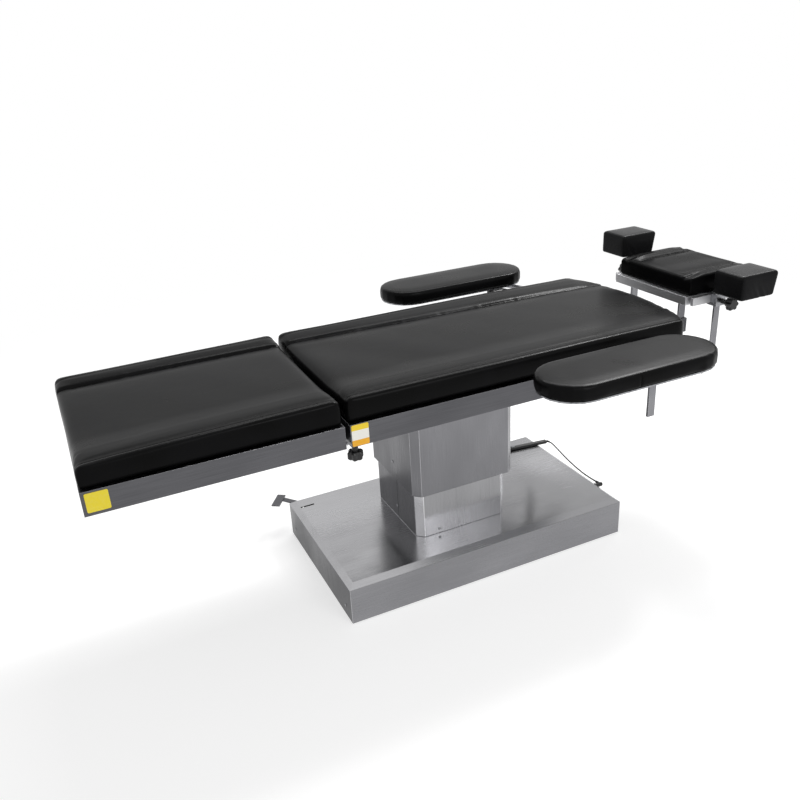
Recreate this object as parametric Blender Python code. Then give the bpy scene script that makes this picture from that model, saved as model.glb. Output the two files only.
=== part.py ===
"""Eye-surgery operating table.

A steel base box carries a telescopic column. On the column a two-axis tilting head
carries the seat frame. A leg section folds down at the knee, a raised head section
slides and tilts at the other end, two wrist rests ride on its side rails and two
armrests hang on the seat frame.

X runs from the foot end to the head end, Y across the table, Z up from the floor.
"near" is the -Y side and "far" the +Y side. The plan stations below are measured from
the middle of the base box; the last lines shift the whole table so that its own
length is centred on the origin.
"""
import math

import bmesh
import bpy
from mathutils import Matrix, Vector

for item in list(bpy.data.objects):
    bpy.data.objects.remove(item, do_unlink=True)

# Clearances
TOUCH = 0.0003
RUN = 0.0003
SHEET = 0.002

# Base box
BASE_LENGTH = 0.900
BASE_WIDTH = 0.515
SKIRT_TOP = 0.112
SKIRT_GAP = 0.004
BASE_TOP = 0.125
BAND_INSET = 0.017
SKIRT_LIP = 0.014
SLOT_FROM_END = 0.041
SLOT_FROM_SIDE = 0.0625
SLOT_LENGTH = 0.044
SLOT_WIDTH = 0.007

# Chassis inside the base box
CHASSIS_BOTTOM = 0.022
BEAM_HEIGHT = 0.038
BEAM_WIDTH = 0.030
CROSS_BEAM_OFFSET = 0.120
PLATE_THICKNESS = 0.008
PLATE_MARGIN = 0.030
FOOT_RADIUS = 0.019
FOOT_PAD = 0.014
FOOT_STUD_RADIUS = 0.006
FOOT_TO_SKIRT = 0.003

# Castors and their lifting frame
CASTOR_FROM_END = 0.128
CASTOR_FROM_SIDE = 0.0925
CASTOR_TRAIL = 0.015
WHEEL_RADIUS = 0.024
WHEEL_WIDTH = 0.018
WHEEL_CLEARANCE = 0.003
AXLE_RADIUS = 0.004
FORK_PLATE = 0.003
CROWN_RADIUS = 0.016
CROWN_HEIGHT = 0.009
STEM_RADIUS = 0.006
CARRIER_WIDTH = 0.046
CARRIER_THICKNESS = 0.008
CARRIER_DROP = 0.006
CARRIER_ABOVE_BEAM = 0.012
GUIDE_PIN_RADIUS = 0.005

# Brake pedal
PEDAL_FROM_END = 0.052
PEDAL_PIVOT_FROM_SIDE = 0.1525
PEDAL_PIN_RADIUS = 0.005
PEDAL_BAR_WIDTH = 0.014
PEDAL_BAR_THICKNESS = 0.007
PEDAL_HEIGHT = 0.090
PEDAL_BEND = 0.004
PEDAL_PLATE_SIDEWAYS = 0.069
PEDAL_PLATE_OUT = 0.066
PEDAL_PLATE_LENGTH = 0.067
PEDAL_PLATE_WIDTH = 0.027
PEDAL_PLATE_THICKNESS = 0.004
PEDAL_PLATE_TURN = math.radians(55)
PEDAL_CAM_HALF = 0.002
PEDAL_TRAVEL = math.radians(5)

# Column: fixed cover, guide tubes and lift drive
COLUMN_X = -0.0395
COVER_LENGTH = 0.295
COVER_WIDTH = 0.294
COVER_HEADROOM = 0.003
COVER_CHAMFER = 0.020
GUIDE_LENGTH = 0.180
GUIDE_WIDTH = 0.150
GUIDE_WALL = 0.006
GUIDE_BELOW_COVER = 0.010
INNER_WALL = 0.005
INNER_BOTTOM = 0.160
MOTOR_RADIUS = 0.034
MOTOR_HEIGHT = 0.120
SPINDLE_RADIUS = 0.016
SPINDLE_NUT_RADIUS = 0.024

# Moving sleeve
SLEEVE_LENGTH = 0.326
SLEEVE_WIDTH = 0.312
SLEEVE_SHIFT = 0.0065
SLEEVE_BOTTOM = 0.266
SLEEVE_BELOW_TILT = 0.049
LIFT_DOWN = 0.050
LIFT_UP = 0.200

# Tilting head
HEAD_PLATE = 0.008
TILT_BELOW_DECK = 0.037
TRUNNION_RADIUS = 0.010
EAR_OFFSET = 0.050
EAR_THICKNESS = 0.010
EAR_RADIUS = 0.015
HANGER_OFFSET = 0.060
CROSS_BODY = 0.026

# Frames under the cushions
DECK_HEIGHT = 0.610
RAIL_HEIGHT = 0.060
KNEE_FROM_COLUMN = 0.387
LEG_LENGTH = 0.608
SEAT_END_FROM_COLUMN = 0.6395
FRAME_WIDTH = 0.577
FRAME_SHEET = 0.003
FRAME_LIP = 0.022
KNEE_GAP = 0.013
SEAT_RIBS = (-0.2305, 0.2295, 0.4395)
RIB_WIDTH = 0.025
RIB_HEIGHT = 0.024

# Knee hinge and its clamp knobs
HINGE_RADIUS = 0.0062
HINGE_ROD_RADIUS = 0.003
HINGE_ABOVE_BOTTOM = 0.007
KNUCKLE_LENGTH = 0.080
KNEE_KNOB_PAST = 0.019
KNEE_KNOB_INSET = 0.013
KNOB_RADIUS = 0.021
KNOB_THICKNESS = 0.022
KNOB_DROP = 0.016
KNOB_COLLAR_RADIUS = 0.008
STUD_RADIUS = 0.004

# Cushions: a flat middle panel between two raised rims
CUSHION_INSET = 0.007
CUSHION_HEIGHT = 0.0567
CUSHION_SIDE_HEIGHT = 0.0447
CUSHION_ROUND = 0.012
RIM_RISE = 0.012
RIM_WIDTH = 0.087
RIM_AT_SHOULDER = 0.6
BOW_DROP = 0.009
BOW_ROUND_FROM = 0.80
SEAT_SHOULDER_OVERHANG = 0.012
SEAT_BOW = 0.085
SEAT_RIM_FADE = 0.300
LEG_CUSHION_DROOP = 0.011

# Head section
HEAD_GAP = 0.037
HEAD_LENGTH = 0.256
HEAD_WIDTH = 0.322
HEAD_RAISE = 0.055
HEAD_RAIL_HEIGHT = 0.027
HEAD_BAR = 0.005
HEAD_PIVOT_IN = 0.037
HEAD_PIVOT_UP = 0.003
HEAD_ARM_Y = 0.110
HEAD_ARM_WIDTH = 0.024
HEAD_ARM_THICKNESS = 0.008
HEAD_ARM_TOP = 0.011
HEAD_ARM_DROP = 0.200
HEAD_TIE_HEIGHT = 0.020
HEAD_ROD_RADIUS = 0.005
LUG_THICKNESS = 0.010
LUG_HALF = 0.013
SOCKET_WALL = 0.005
SOCKET_ABOVE_RAIL_BOTTOM = 0.010
SOCKET_HEIGHT = 0.045
HEAD_BEAM = 0.024
HEAD_CUSHION_IN = 0.016
HEAD_CUSHION_OVERHANG = 0.013
HEAD_CUSHION_WIDTH = 0.320
HEAD_CUSHION_HEIGHT = 0.0517
BOLSTER_RISE = 0.011
BOLSTER_Y = 0.122
BOLSTER_RAMP = 0.045

# Accessory rails on the head section, and the wrist rests on them
SIDE_RAIL_FROM_FRONT = 0.013
SIDE_RAIL_FROM_BACK = 0.058
SIDE_RAIL_HEIGHT = 0.025
SIDE_RAIL_THICKNESS = 0.010
SIDE_RAIL_STANDOFF = 0.008
SPACER_RADIUS = 0.006
SPACER_INSET = 0.020
CLAMP_FROM_FRONT = 0.102
CLAMP_LENGTH = 0.036
CLAMP_WALL = 0.0045
CLAMP_LIP = 0.004
CLAMP_OUT = 0.023
CLAMP_BOTTOM_WALL = 0.008
POST_WIDTH = 0.022
POST_THICKNESS = 0.006
POST_OUT = 0.0085
POST_LENGTH = 0.185
POST_PLATE_THICKNESS = 0.005
POST_PLATE_SPAN = 0.121
WRIST_AHEAD_OF_CLAMP = 0.041
WRIST_LENGTH = 0.139
WRIST_OUT = 0.025
WRIST_WIDTH = 0.113
WRIST_HEIGHT = 0.073
WRIST_ROUND = 0.008
WRIST_ABOVE_RAIL = 0.015
FAR_WRIST_RAISE = 0.022
WRIST_KNOB_RAISE = 0.009
WRIST_KNOB_OUT = 0.031

# Armrests
ARM_POST_FROM_END = 0.101
ARM_POST_OUT = 0.015
ARM_POST_WIDTH = 0.024
ARM_POST_THICKNESS = 0.008
ARM_POST_BELOW_CLAMP = 0.144
ARM_CLAMP_LENGTH = 0.048
ARM_CLAMP_WALL = 0.011
ARM_CLAMP_UP = 0.006
ARM_CLAMP_HEIGHT = 0.048
PAD_PAST_SWIVEL = 0.106
PAD_LENGTH = 0.525
PAD_WIDTH = 0.189
PAD_OUT = 0.0765
PAD_ABOVE_DECK = 0.083
PAD_THICKNESS = 0.041
PAD_ROUND = 0.010
BOARD_THICKNESS = 0.004
BOARD_INSET = 0.004
BRACKET_THICKNESS = 0.0075
SWIVEL_FROM_POST = 0.074
SWIVEL_RADIUS = 0.008
BOSS_RADIUS = 0.016
BOSS_HEIGHT = 0.026
WASHER_RADIUS = 0.012
WASHER_HEIGHT = 0.004
LEVER_HUB_HEIGHT = 0.014
LEVER_HUB_RADIUS = 0.013
LEVER_LENGTH = 0.095
LEVER_DROP = 0.016
LEVER_WIDTH = 0.010
LEVER_THICKNESS = 0.005
LEVER_STRAIGHT = 0.045

# Hand control lying on the base box, its keys, plug and cord
CONTROL_LENGTH = 0.215
CONTROL_WIDTH = 0.016
CONTROL_HEIGHT = 0.0105
CONTROL_OVERHANG = 0.018
CONTROL_FROM_SIDE = 0.0915
CONTROL_TURN = math.radians(-7)
CONTROL_ROUND = 0.002
KEY_LENGTH = 0.012
KEY_WIDTH = 0.009
KEY_PITCH = 0.018
KEY_START = 0.028
KEY_RISE = 0.0018
KEY_DEPTH = 0.004
KEY_TRAVEL = 0.0012
PLUG_FROM_SIDE = 0.1325
PLUG_BELOW_TOP = 0.025
PLUG_RADIUS = 0.0065
PLUG_LENGTH = 0.034
PLUG_IN = 0.010
BOOT_RADIUS = 0.0042
BOOT_LENGTH = 0.013
CORD_RADIUS = 0.0022
CORD_OUT = 0.0055
BOOT_FROM_PLUG_END = 0.006

# Stations worked out from the sizes above
BASE_HALF = BASE_LENGTH / 2
BASE_SIDE = BASE_WIDTH / 2
CASTOR_X = BASE_HALF - CASTOR_FROM_END
CASTOR_Y = BASE_SIDE - CASTOR_FROM_SIDE
PEDAL_X = PEDAL_FROM_END - BASE_HALF
PEDAL_PIVOT_Y = BASE_SIDE - PEDAL_PIVOT_FROM_SIDE
BEAM_TOP = CHASSIS_BOTTOM + BEAM_HEIGHT
CARRIER_BOTTOM = BEAM_TOP + CARRIER_ABOVE_BEAM
CARRIER_TOP = CARRIER_BOTTOM + CARRIER_THICKNESS
COVER_START = COLUMN_X - COVER_LENGTH / 2
SLEEVE_MIDDLE = COLUMN_X + SLEEVE_SHIFT
INNER_LENGTH = GUIDE_LENGTH - 2 * (GUIDE_WALL + RUN)
INNER_WIDTH = GUIDE_WIDTH - 2 * (GUIDE_WALL + RUN)
RAIL_TOP = DECK_HEIGHT
RAIL_BOTTOM = RAIL_TOP - RAIL_HEIGHT
TILT_Z = RAIL_TOP - TILT_BELOW_DECK
SLEEVE_TOP = TILT_Z - SLEEVE_BELOW_TILT
COVER_TOP = SLEEVE_TOP - SHEET - LIFT_DOWN - COVER_HEADROOM
GUIDE_TOP = COVER_TOP - GUIDE_BELOW_COVER
HEAD_PLATE_BOTTOM = SLEEVE_TOP + TOUCH
HEAD_PLATE_TOP = HEAD_PLATE_BOTTOM + HEAD_PLATE
FRAME_HALF = FRAME_WIDTH / 2
KNEE_X = COLUMN_X - KNEE_FROM_COLUMN
KNEE_Z = RAIL_BOTTOM + HINGE_ABOVE_BOTTOM
KNEE_KNOB_X = KNEE_X + KNEE_KNOB_PAST
KNEE_KNOB_Y = FRAME_HALF - KNEE_KNOB_INSET
LEG_FRAME_END = KNEE_X - KNEE_GAP / 2
LEG_END = LEG_FRAME_END - LEG_LENGTH
SEAT_FRAME_START = KNEE_X + KNEE_GAP / 2
SEAT_FRAME_END = COLUMN_X + SEAT_END_FROM_COLUMN
CUSHION_HALF = FRAME_HALF - CUSHION_INSET
CUSHION_BOTTOM = RAIL_TOP + TOUCH
CUSHION_TOP = CUSHION_BOTTOM + CUSHION_HEIGHT
CUSHION_SIDE_TOP = CUSHION_BOTTOM + CUSHION_SIDE_HEIGHT
SEAT_CUSHION_SHOULDER = SEAT_FRAME_END + SEAT_SHOULDER_OVERHANG
SEAT_CUSHION_END = SEAT_CUSHION_SHOULDER + SEAT_BOW
SOCKET_BOTTOM = RAIL_BOTTOM + SOCKET_ABOVE_RAIL_BOTTOM
HEAD_FRONT = SEAT_CUSHION_END + HEAD_GAP
HEAD_BACK = HEAD_FRONT + HEAD_LENGTH
HEAD_HALF = HEAD_WIDTH / 2
HEAD_RAIL_BOTTOM = RAIL_TOP + HEAD_RAISE
HEAD_RAIL_TOP = HEAD_RAIL_BOTTOM + HEAD_RAIL_HEIGHT
HEAD_PIVOT_X = HEAD_FRONT + HEAD_PIVOT_IN
HEAD_PIVOT_Z = HEAD_RAIL_BOTTOM + HEAD_PIVOT_UP
HEAD_ARM_BOTTOM = HEAD_PIVOT_Z - HEAD_ARM_DROP
HEAD_CUSHION_FRONT = HEAD_FRONT + HEAD_CUSHION_IN
HEAD_CUSHION_BACK = HEAD_BACK + HEAD_CUSHION_OVERHANG
HEAD_CUSHION_TOP = HEAD_RAIL_TOP + TOUCH + HEAD_CUSHION_HEIGHT
SIDE_RAIL_START = HEAD_FRONT + SIDE_RAIL_FROM_FRONT
SIDE_RAIL_END = HEAD_BACK - SIDE_RAIL_FROM_BACK
SIDE_RAIL_INNER = HEAD_HALF + SIDE_RAIL_STANDOFF
SIDE_RAIL_OUTER = SIDE_RAIL_INNER + SIDE_RAIL_THICKNESS
SIDE_RAIL_TOP = HEAD_RAIL_BOTTOM + SIDE_RAIL_HEIGHT
CLAMP_X = HEAD_FRONT + CLAMP_FROM_FRONT
CLAMP_FACE = SIDE_RAIL_OUTER + CLAMP_OUT
POST_Y = SIDE_RAIL_OUTER + POST_OUT
POST_PLATE_REACH = SIDE_RAIL_OUTER + POST_PLATE_SPAN
WRIST_FRONT = CLAMP_X - WRIST_AHEAD_OF_CLAMP
WRIST_INNER = SIDE_RAIL_OUTER + WRIST_OUT
WRIST_KNOB_Z = HEAD_RAIL_BOTTOM + WRIST_KNOB_RAISE
WRIST_KNOB_Y = CLAMP_FACE + WRIST_KNOB_OUT
WRIST_BOTTOM = SIDE_RAIL_TOP + WRIST_ABOVE_RAIL
NEAR_POST_BOTTOM = WRIST_BOTTOM - POST_LENGTH
ARM_POST_X = SEAT_FRAME_END - ARM_POST_FROM_END
ARM_POST_Y = FRAME_HALF + ARM_POST_OUT
ARM_CLAMP_BOTTOM = RAIL_BOTTOM + ARM_CLAMP_UP
ARM_POST_BOTTOM = ARM_CLAMP_BOTTOM - ARM_POST_BELOW_CLAMP
SWIVEL_X = ARM_POST_X - SWIVEL_FROM_POST
PAD_FOOT = SWIVEL_X + PAD_PAST_SWIVEL - PAD_LENGTH
PAD_INNER = FRAME_HALF + PAD_OUT
PAD_TOP = RAIL_TOP + PAD_ABOVE_DECK
PAD_BOTTOM = PAD_TOP - PAD_THICKNESS
BOARD_TOP = PAD_BOTTOM - TOUCH
BOARD_BOTTOM = BOARD_TOP - BOARD_THICKNESS
BRACKET_TOP = BOARD_BOTTOM - TOUCH
BRACKET_BOTTOM = BRACKET_TOP - BRACKET_THICKNESS
SWIVEL_Y = PAD_INNER + PAD_WIDTH / 2
CONTROL_END_X = BASE_HALF + CONTROL_OVERHANG
CONTROL_END_Y = BASE_SIDE - CONTROL_FROM_SIDE
PLUG_Y = PLUG_FROM_SIDE - BASE_SIDE
PLUG_Z = BASE_TOP - PLUG_BELOW_TOP
BOOT_X = BASE_HALF + PLUG_LENGTH - BOOT_FROM_PLUG_END
TABLE_MIDDLE = (LEG_END + HEAD_CUSHION_BACK) / 2

FINISHES = {
    "brushed_steel": ((0.56, 0.56, 0.57), 0.32, 1.0),
    "dark_steel": ((0.22, 0.22, 0.23), 0.45, 1.0),
    "zinc": ((0.62, 0.63, 0.65), 0.38, 1.0),
    "leatherette": ((0.045, 0.045, 0.047), 0.48, 0.0),
    "black_plastic": ((0.015, 0.015, 0.016), 0.42, 0.0),
    "grey_plastic": ((0.30, 0.31, 0.32), 0.50, 0.0),
    "rubber": ((0.03, 0.03, 0.03), 0.75, 0.0),
}

datum = bpy.data.objects.new("table_datum", None)
datum.location.x = -TABLE_MIDDLE
bpy.context.scene.collection.objects.link(datum)


def material(name, finish):
    """A Principled material with one of the table's finishes."""
    colour, roughness, metallic = FINISHES[finish]
    result = bpy.data.materials.new(name)
    result.use_nodes = True
    shader = result.node_tree.nodes["Principled BSDF"]
    shader.inputs["Base Color"].default_value = (*colour, 1.0)
    shader.inputs["Roughness"].default_value = roughness
    shader.inputs["Metallic"].default_value = metallic
    return result


def place(name, mesh, finish, origin=(0.0, 0.0, 0.0), turn=None):
    """Make one named piece. The mesh is in table coordinates; origin is its own pivot."""
    pivot = Vector(origin)
    own = mesh.copy()
    own.name = name
    own.transform(Matrix.Translation(-pivot))
    own.materials.clear()
    own.materials.append(material(name, finish))
    own.shade_smooth()
    own.set_sharp_from_angle(angle=math.radians(35))
    piece = bpy.data.objects.new(name, own)
    piece.location = pivot
    piece.parent = datum
    if turn is not None:
        piece.rotation_euler.z = turn
    bpy.context.scene.collection.objects.link(piece)
    return piece


def loft(loops, closed=False):
    """Skin a chain of equal loops. An open chain gets a cap at each end."""
    form = bmesh.new()
    rows = [[form.verts.new(point) for point in loop] for loop in loops]
    pairs = list(zip(rows, rows[1:]))
    if closed:
        pairs.append((rows[-1], rows[0]))
    else:
        form.faces.new(rows[0])
        form.faces.new(rows[-1])
    for low, high in pairs:
        for i in range(len(low)):
            j = (i + 1) % len(low)
            form.faces.new((low[i], low[j], high[j], high[i]))
    bmesh.ops.recalc_face_normals(form, faces=form.faces)
    mesh = bpy.data.meshes.new("form")
    form.to_mesh(mesh)
    form.free()
    return mesh


def lift_outline(outline, axis, height):
    """Put a flat outline at a height along an axis. Outlines go X-Y, Y-Z or X-Z."""
    if axis == "X":
        return [(height, a, b) for a, b in outline]
    if axis == "Y":
        return [(a, height, b) for a, b in outline]
    return [(a, b, height) for a, b in outline]


def prism(outline, axis, start, end):
    """Extrude an outline along an axis."""
    return loft([lift_outline(outline, axis, start), lift_outline(outline, axis, end)])


def block(x, y, z):
    """A box from three (low, high) pairs."""
    outline = [(x[0], y[0]), (x[1], y[0]), (x[1], y[1]), (x[0], y[1])]
    return prism(outline, "Z", z[0], z[1])


def circle(centre, radius, sides):
    """An outline of a circle."""
    turn = 2 * math.pi / sides
    return [(centre[0] + radius * math.cos(i * turn), centre[1] + radius * math.sin(i * turn))
            for i in range(sides)]


def rod(axis, centre, radius, start, end, sides=20):
    """A cylinder along an axis. The centre is given in the plane across it."""
    return prism(circle(centre, radius, sides), axis, start, end)


def turned(axis, centre, profile, sides=24):
    """A turned body from (radius, height) steps."""
    return loft([lift_outline(circle(centre, radius, sides), axis, height)
                 for radius, height in profile])


def rectangle(x0, x1, half, inset):
    """A plan rectangle about the X axis, pulled in on every side."""
    return [(x0 + inset, -half + inset), (x1 - inset, -half + inset),
            (x1 - inset, half - inset), (x0 + inset, half - inset)]


def folded(x0, x1, half, path, closed=False):
    """Folded sheet work: a path of (inset, height) steps run round a plan rectangle."""
    return loft([lift_outline(rectangle(x0, x1, half, inset), "Z", height)
                 for inset, height in path], closed)


def chamfered(middle, length, width, chamfer):
    """A plan rectangle with cut corners."""
    a = length / 2
    b = width / 2
    c = chamfer
    corners = [(a - c, -b), (a, -b + c), (a, b - c), (a - c, b),
               (-a + c, b), (-a, b - c), (-a, -b + c), (-a + c, -b)]
    return [(middle + x, y) for x, y in corners]


def boolean(body, tools, operation):
    """Cut or join meshes and return the result as a new mesh."""
    scene = bpy.context.scene.collection.objects
    work = bpy.data.objects.new("work", body)
    scene.link(work)
    helpers = []
    for tool in tools:
        helper = bpy.data.objects.new("helper", tool)
        scene.link(helper)
        helpers.append(helper)
        step = work.modifiers.new("step", "BOOLEAN")
        step.operation = operation
        step.object = helper
        step.solver = "EXACT"
    graph = bpy.context.evaluated_depsgraph_get()
    result = bpy.data.meshes.new_from_object(work.evaluated_get(graph))
    for helper in helpers + [work]:
        bpy.data.objects.remove(helper, do_unlink=True)
    return result


def weld(body, *others):
    """Join meshes that pass into one another into one body."""
    return boolean(body, others, "UNION")


def cut(body, *tools):
    """Take tools away from a body."""
    return boolean(body, tools, "DIFFERENCE")


def mirrored(mesh, side):
    """A copy on the near side (-1) or the far side (+1) of a mesh made for +Y."""
    result = mesh.copy()
    if side < 0:
        result.transform(Matrix.Diagonal((1, -1, 1, 1)))
        result.flip_normals()
    return result


def strip(start, end, width):
    """The plan outline of a straight flat bar between two points."""
    ahead = (end - start).normalized()
    across = Vector((-ahead.y, ahead.x)) * (width / 2)
    return [tuple(point) for point in (start - across, end - across, end + across, start + across)]


def sides():
    """The two sides of the table with their names."""
    return (("near", -1), ("far", 1))


def star_outline(centre, radius, lobes=6, sides_per_lobe=6):
    """The lobed outline of a star knob."""
    steps = lobes * sides_per_lobe
    points = []
    for i in range(steps):
        angle = 2 * math.pi * i / steps
        reach = radius * (0.88 + 0.12 * math.cos(lobes * angle))
        points.append((centre[0] + reach * math.cos(angle), centre[1] + reach * math.sin(angle)))
    return points


def star_knob(axis, centre, start, end, radius=KNOB_RADIUS):
    """A star knob with softened rims between two heights."""
    direction = 1 if end > start else -1
    rim = 0.004 * direction
    inner = star_outline(centre, radius * 0.84)
    outer = star_outline(centre, radius)
    return loft([lift_outline(inner, axis, start), lift_outline(outer, axis, start + rim),
                 lift_outline(outer, axis, end - rim), lift_outline(inner, axis, end)])


def base_box():
    """Skirt, folded top with its sloped bands, and the opening under the column."""
    skirt = folded(-BASE_HALF, BASE_HALF, BASE_SIDE, [
        (0.0, SKIRT_GAP), (0.0, SKIRT_TOP), (SKIRT_LIP, SKIRT_TOP),
        (SKIRT_LIP, SKIRT_TOP - SHEET), (SHEET, SKIRT_TOP - SHEET), (SHEET, SKIRT_GAP)], closed=True)
    reach = BASE_SIDE - PEDAL_PIVOT_Y
    sweep = reach * math.sin(PEDAL_TRAVEL)
    slot_half = PEDAL_BAR_WIDTH / 2 + 0.003
    pedal_slot = block((PEDAL_X - slot_half, PEDAL_X + slot_half),
                       (BASE_SIDE - 0.010, BASE_SIDE + 0.010),
                       (PEDAL_HEIGHT - PEDAL_BAR_THICKNESS / 2 - sweep - 0.003,
                        PEDAL_HEIGHT + PEDAL_BAR_THICKNESS / 2 + 0.003))
    plug_hole = rod("X", (PLUG_Y, PLUG_Z), PLUG_RADIUS + RUN, BASE_HALF - 0.010, BASE_HALF + 0.010)
    place("base_skirt", cut(skirt, pedal_slot, plug_hole), "brushed_steel")

    foot = SKIRT_TOP + TOUCH
    top = folded(-BASE_HALF, BASE_HALF, BASE_SIDE, [
        (BAND_INSET, BASE_TOP), (0.0, foot), (SHEET * 1.5, foot),
        (BAND_INSET + SHEET / 2, BASE_TOP - SHEET)])
    through = (BASE_TOP - 0.010, BASE_TOP + 0.010)
    well = block((COLUMN_X - GUIDE_LENGTH / 2 - 0.012, COLUMN_X + GUIDE_LENGTH / 2 + 0.012),
                 (-GUIDE_WIDTH / 2 - 0.012, GUIDE_WIDTH / 2 + 0.012), through)
    slot_x = SLOT_FROM_END - BASE_HALF
    slot_y = BASE_SIDE - SLOT_FROM_SIDE
    slot = block((slot_x - SLOT_LENGTH / 2, slot_x + SLOT_LENGTH / 2),
                 (slot_y - SLOT_WIDTH / 2, slot_y + SLOT_WIDTH / 2), through)
    place("base_top", cut(top, well, slot), "brushed_steel")


def chassis():
    """Welded beams with the column plate, the carrier's guide pins and the pedal's ears."""
    outer = BASE_SIDE - SHEET - TOUCH
    end = BASE_HALF - SHEET - TOUCH
    height = (CHASSIS_BOTTOM, BEAM_TOP)
    frame = folded(-end, end, outer, [
        (0.0, height[0]), (0.0, height[1]), (BEAM_WIDTH, height[1]), (BEAM_WIDTH, height[0])],
        closed=True)
    parts = []
    for offset in (-CROSS_BEAM_OFFSET, CROSS_BEAM_OFFSET):
        middle = COLUMN_X + offset
        parts.append(block((middle - BEAM_WIDTH / 2, middle + BEAM_WIDTH / 2),
                           (-outer + BEAM_WIDTH / 2, outer - BEAM_WIDTH / 2),
                           (height[0] + 0.001, height[1] - 0.001)))
        for side in (-1, 1):
            parts.append(rod("Z", (middle, side * CASTOR_Y), GUIDE_PIN_RADIUS,
                             height[1] - 0.010, CARRIER_TOP + 0.012, 16))
    plate_x = CROSS_BEAM_OFFSET + BEAM_WIDTH / 2
    plate_y = CASTOR_Y - CARRIER_WIDTH / 2 - 0.012
    parts.append(block((COLUMN_X - plate_x, COLUMN_X + plate_x), (-plate_y, plate_y),
                       (height[1] - 0.003, height[1] - 0.003 + PLATE_THICKNESS)))
    shelf = (PEDAL_X - 0.022, PEDAL_X + 0.022)
    parts.append(block(shelf, (PEDAL_PIVOT_Y - 0.012, outer - BEAM_WIDTH / 2),
                       (height[0] + 0.002, height[0] + 0.010)))
    for start in (PEDAL_X - 0.020, PEDAL_X + 0.014):
        parts.append(block((start, start + 0.006),
                           (PEDAL_PIVOT_Y - 0.009, PEDAL_PIVOT_Y + 0.009),
                           (height[0] + 0.006, PEDAL_HEIGHT + 0.008)))
    body = weld(frame, *parts)
    pin_hole = rod("X", (PEDAL_PIVOT_Y, PEDAL_HEIGHT), PEDAL_PIN_RADIUS + RUN,
                   PEDAL_X - 0.030, PEDAL_X + 0.030, 16)
    foot_holes = [rod("Z", spot, FOOT_STUD_RADIUS + RUN, height[0] - 0.005, height[0] + 0.020, 12)
                  for spot in foot_spots()]
    place("chassis", cut(body, pin_hole, *foot_holes), "dark_steel")


def foot_spots():
    """Plan positions of the four feet."""
    x = BASE_HALF - SHEET - FOOT_TO_SKIRT - FOOT_RADIUS
    y = BASE_SIDE - SHEET - FOOT_TO_SKIRT - FOOT_RADIUS
    return [(-x, -y), (x, -y), (x, y), (-x, y)]


def feet():
    """Four rubber feet with studs that screw into the chassis."""
    names = ("foot_near_left", "foot_near_right", "foot_far_right", "foot_far_left")
    for name, spot in zip(names, foot_spots()):
        pad = turned("Z", spot, [
            (FOOT_RADIUS - 0.002, 0.0), (FOOT_RADIUS, 0.003), (FOOT_RADIUS, FOOT_PAD - 0.003),
            (FOOT_RADIUS - 0.004, FOOT_PAD), (FOOT_STUD_RADIUS + 0.004, FOOT_PAD + 0.0005),
            (FOOT_STUD_RADIUS + 0.004, CHASSIS_BOTTOM - TOUCH),
            (FOOT_STUD_RADIUS, CHASSIS_BOTTOM - TOUCH + 0.0001),
            (FOOT_STUD_RADIUS, CHASSIS_BOTTOM + 0.018)], 20)
        place(name, pad, "rubber")


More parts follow.
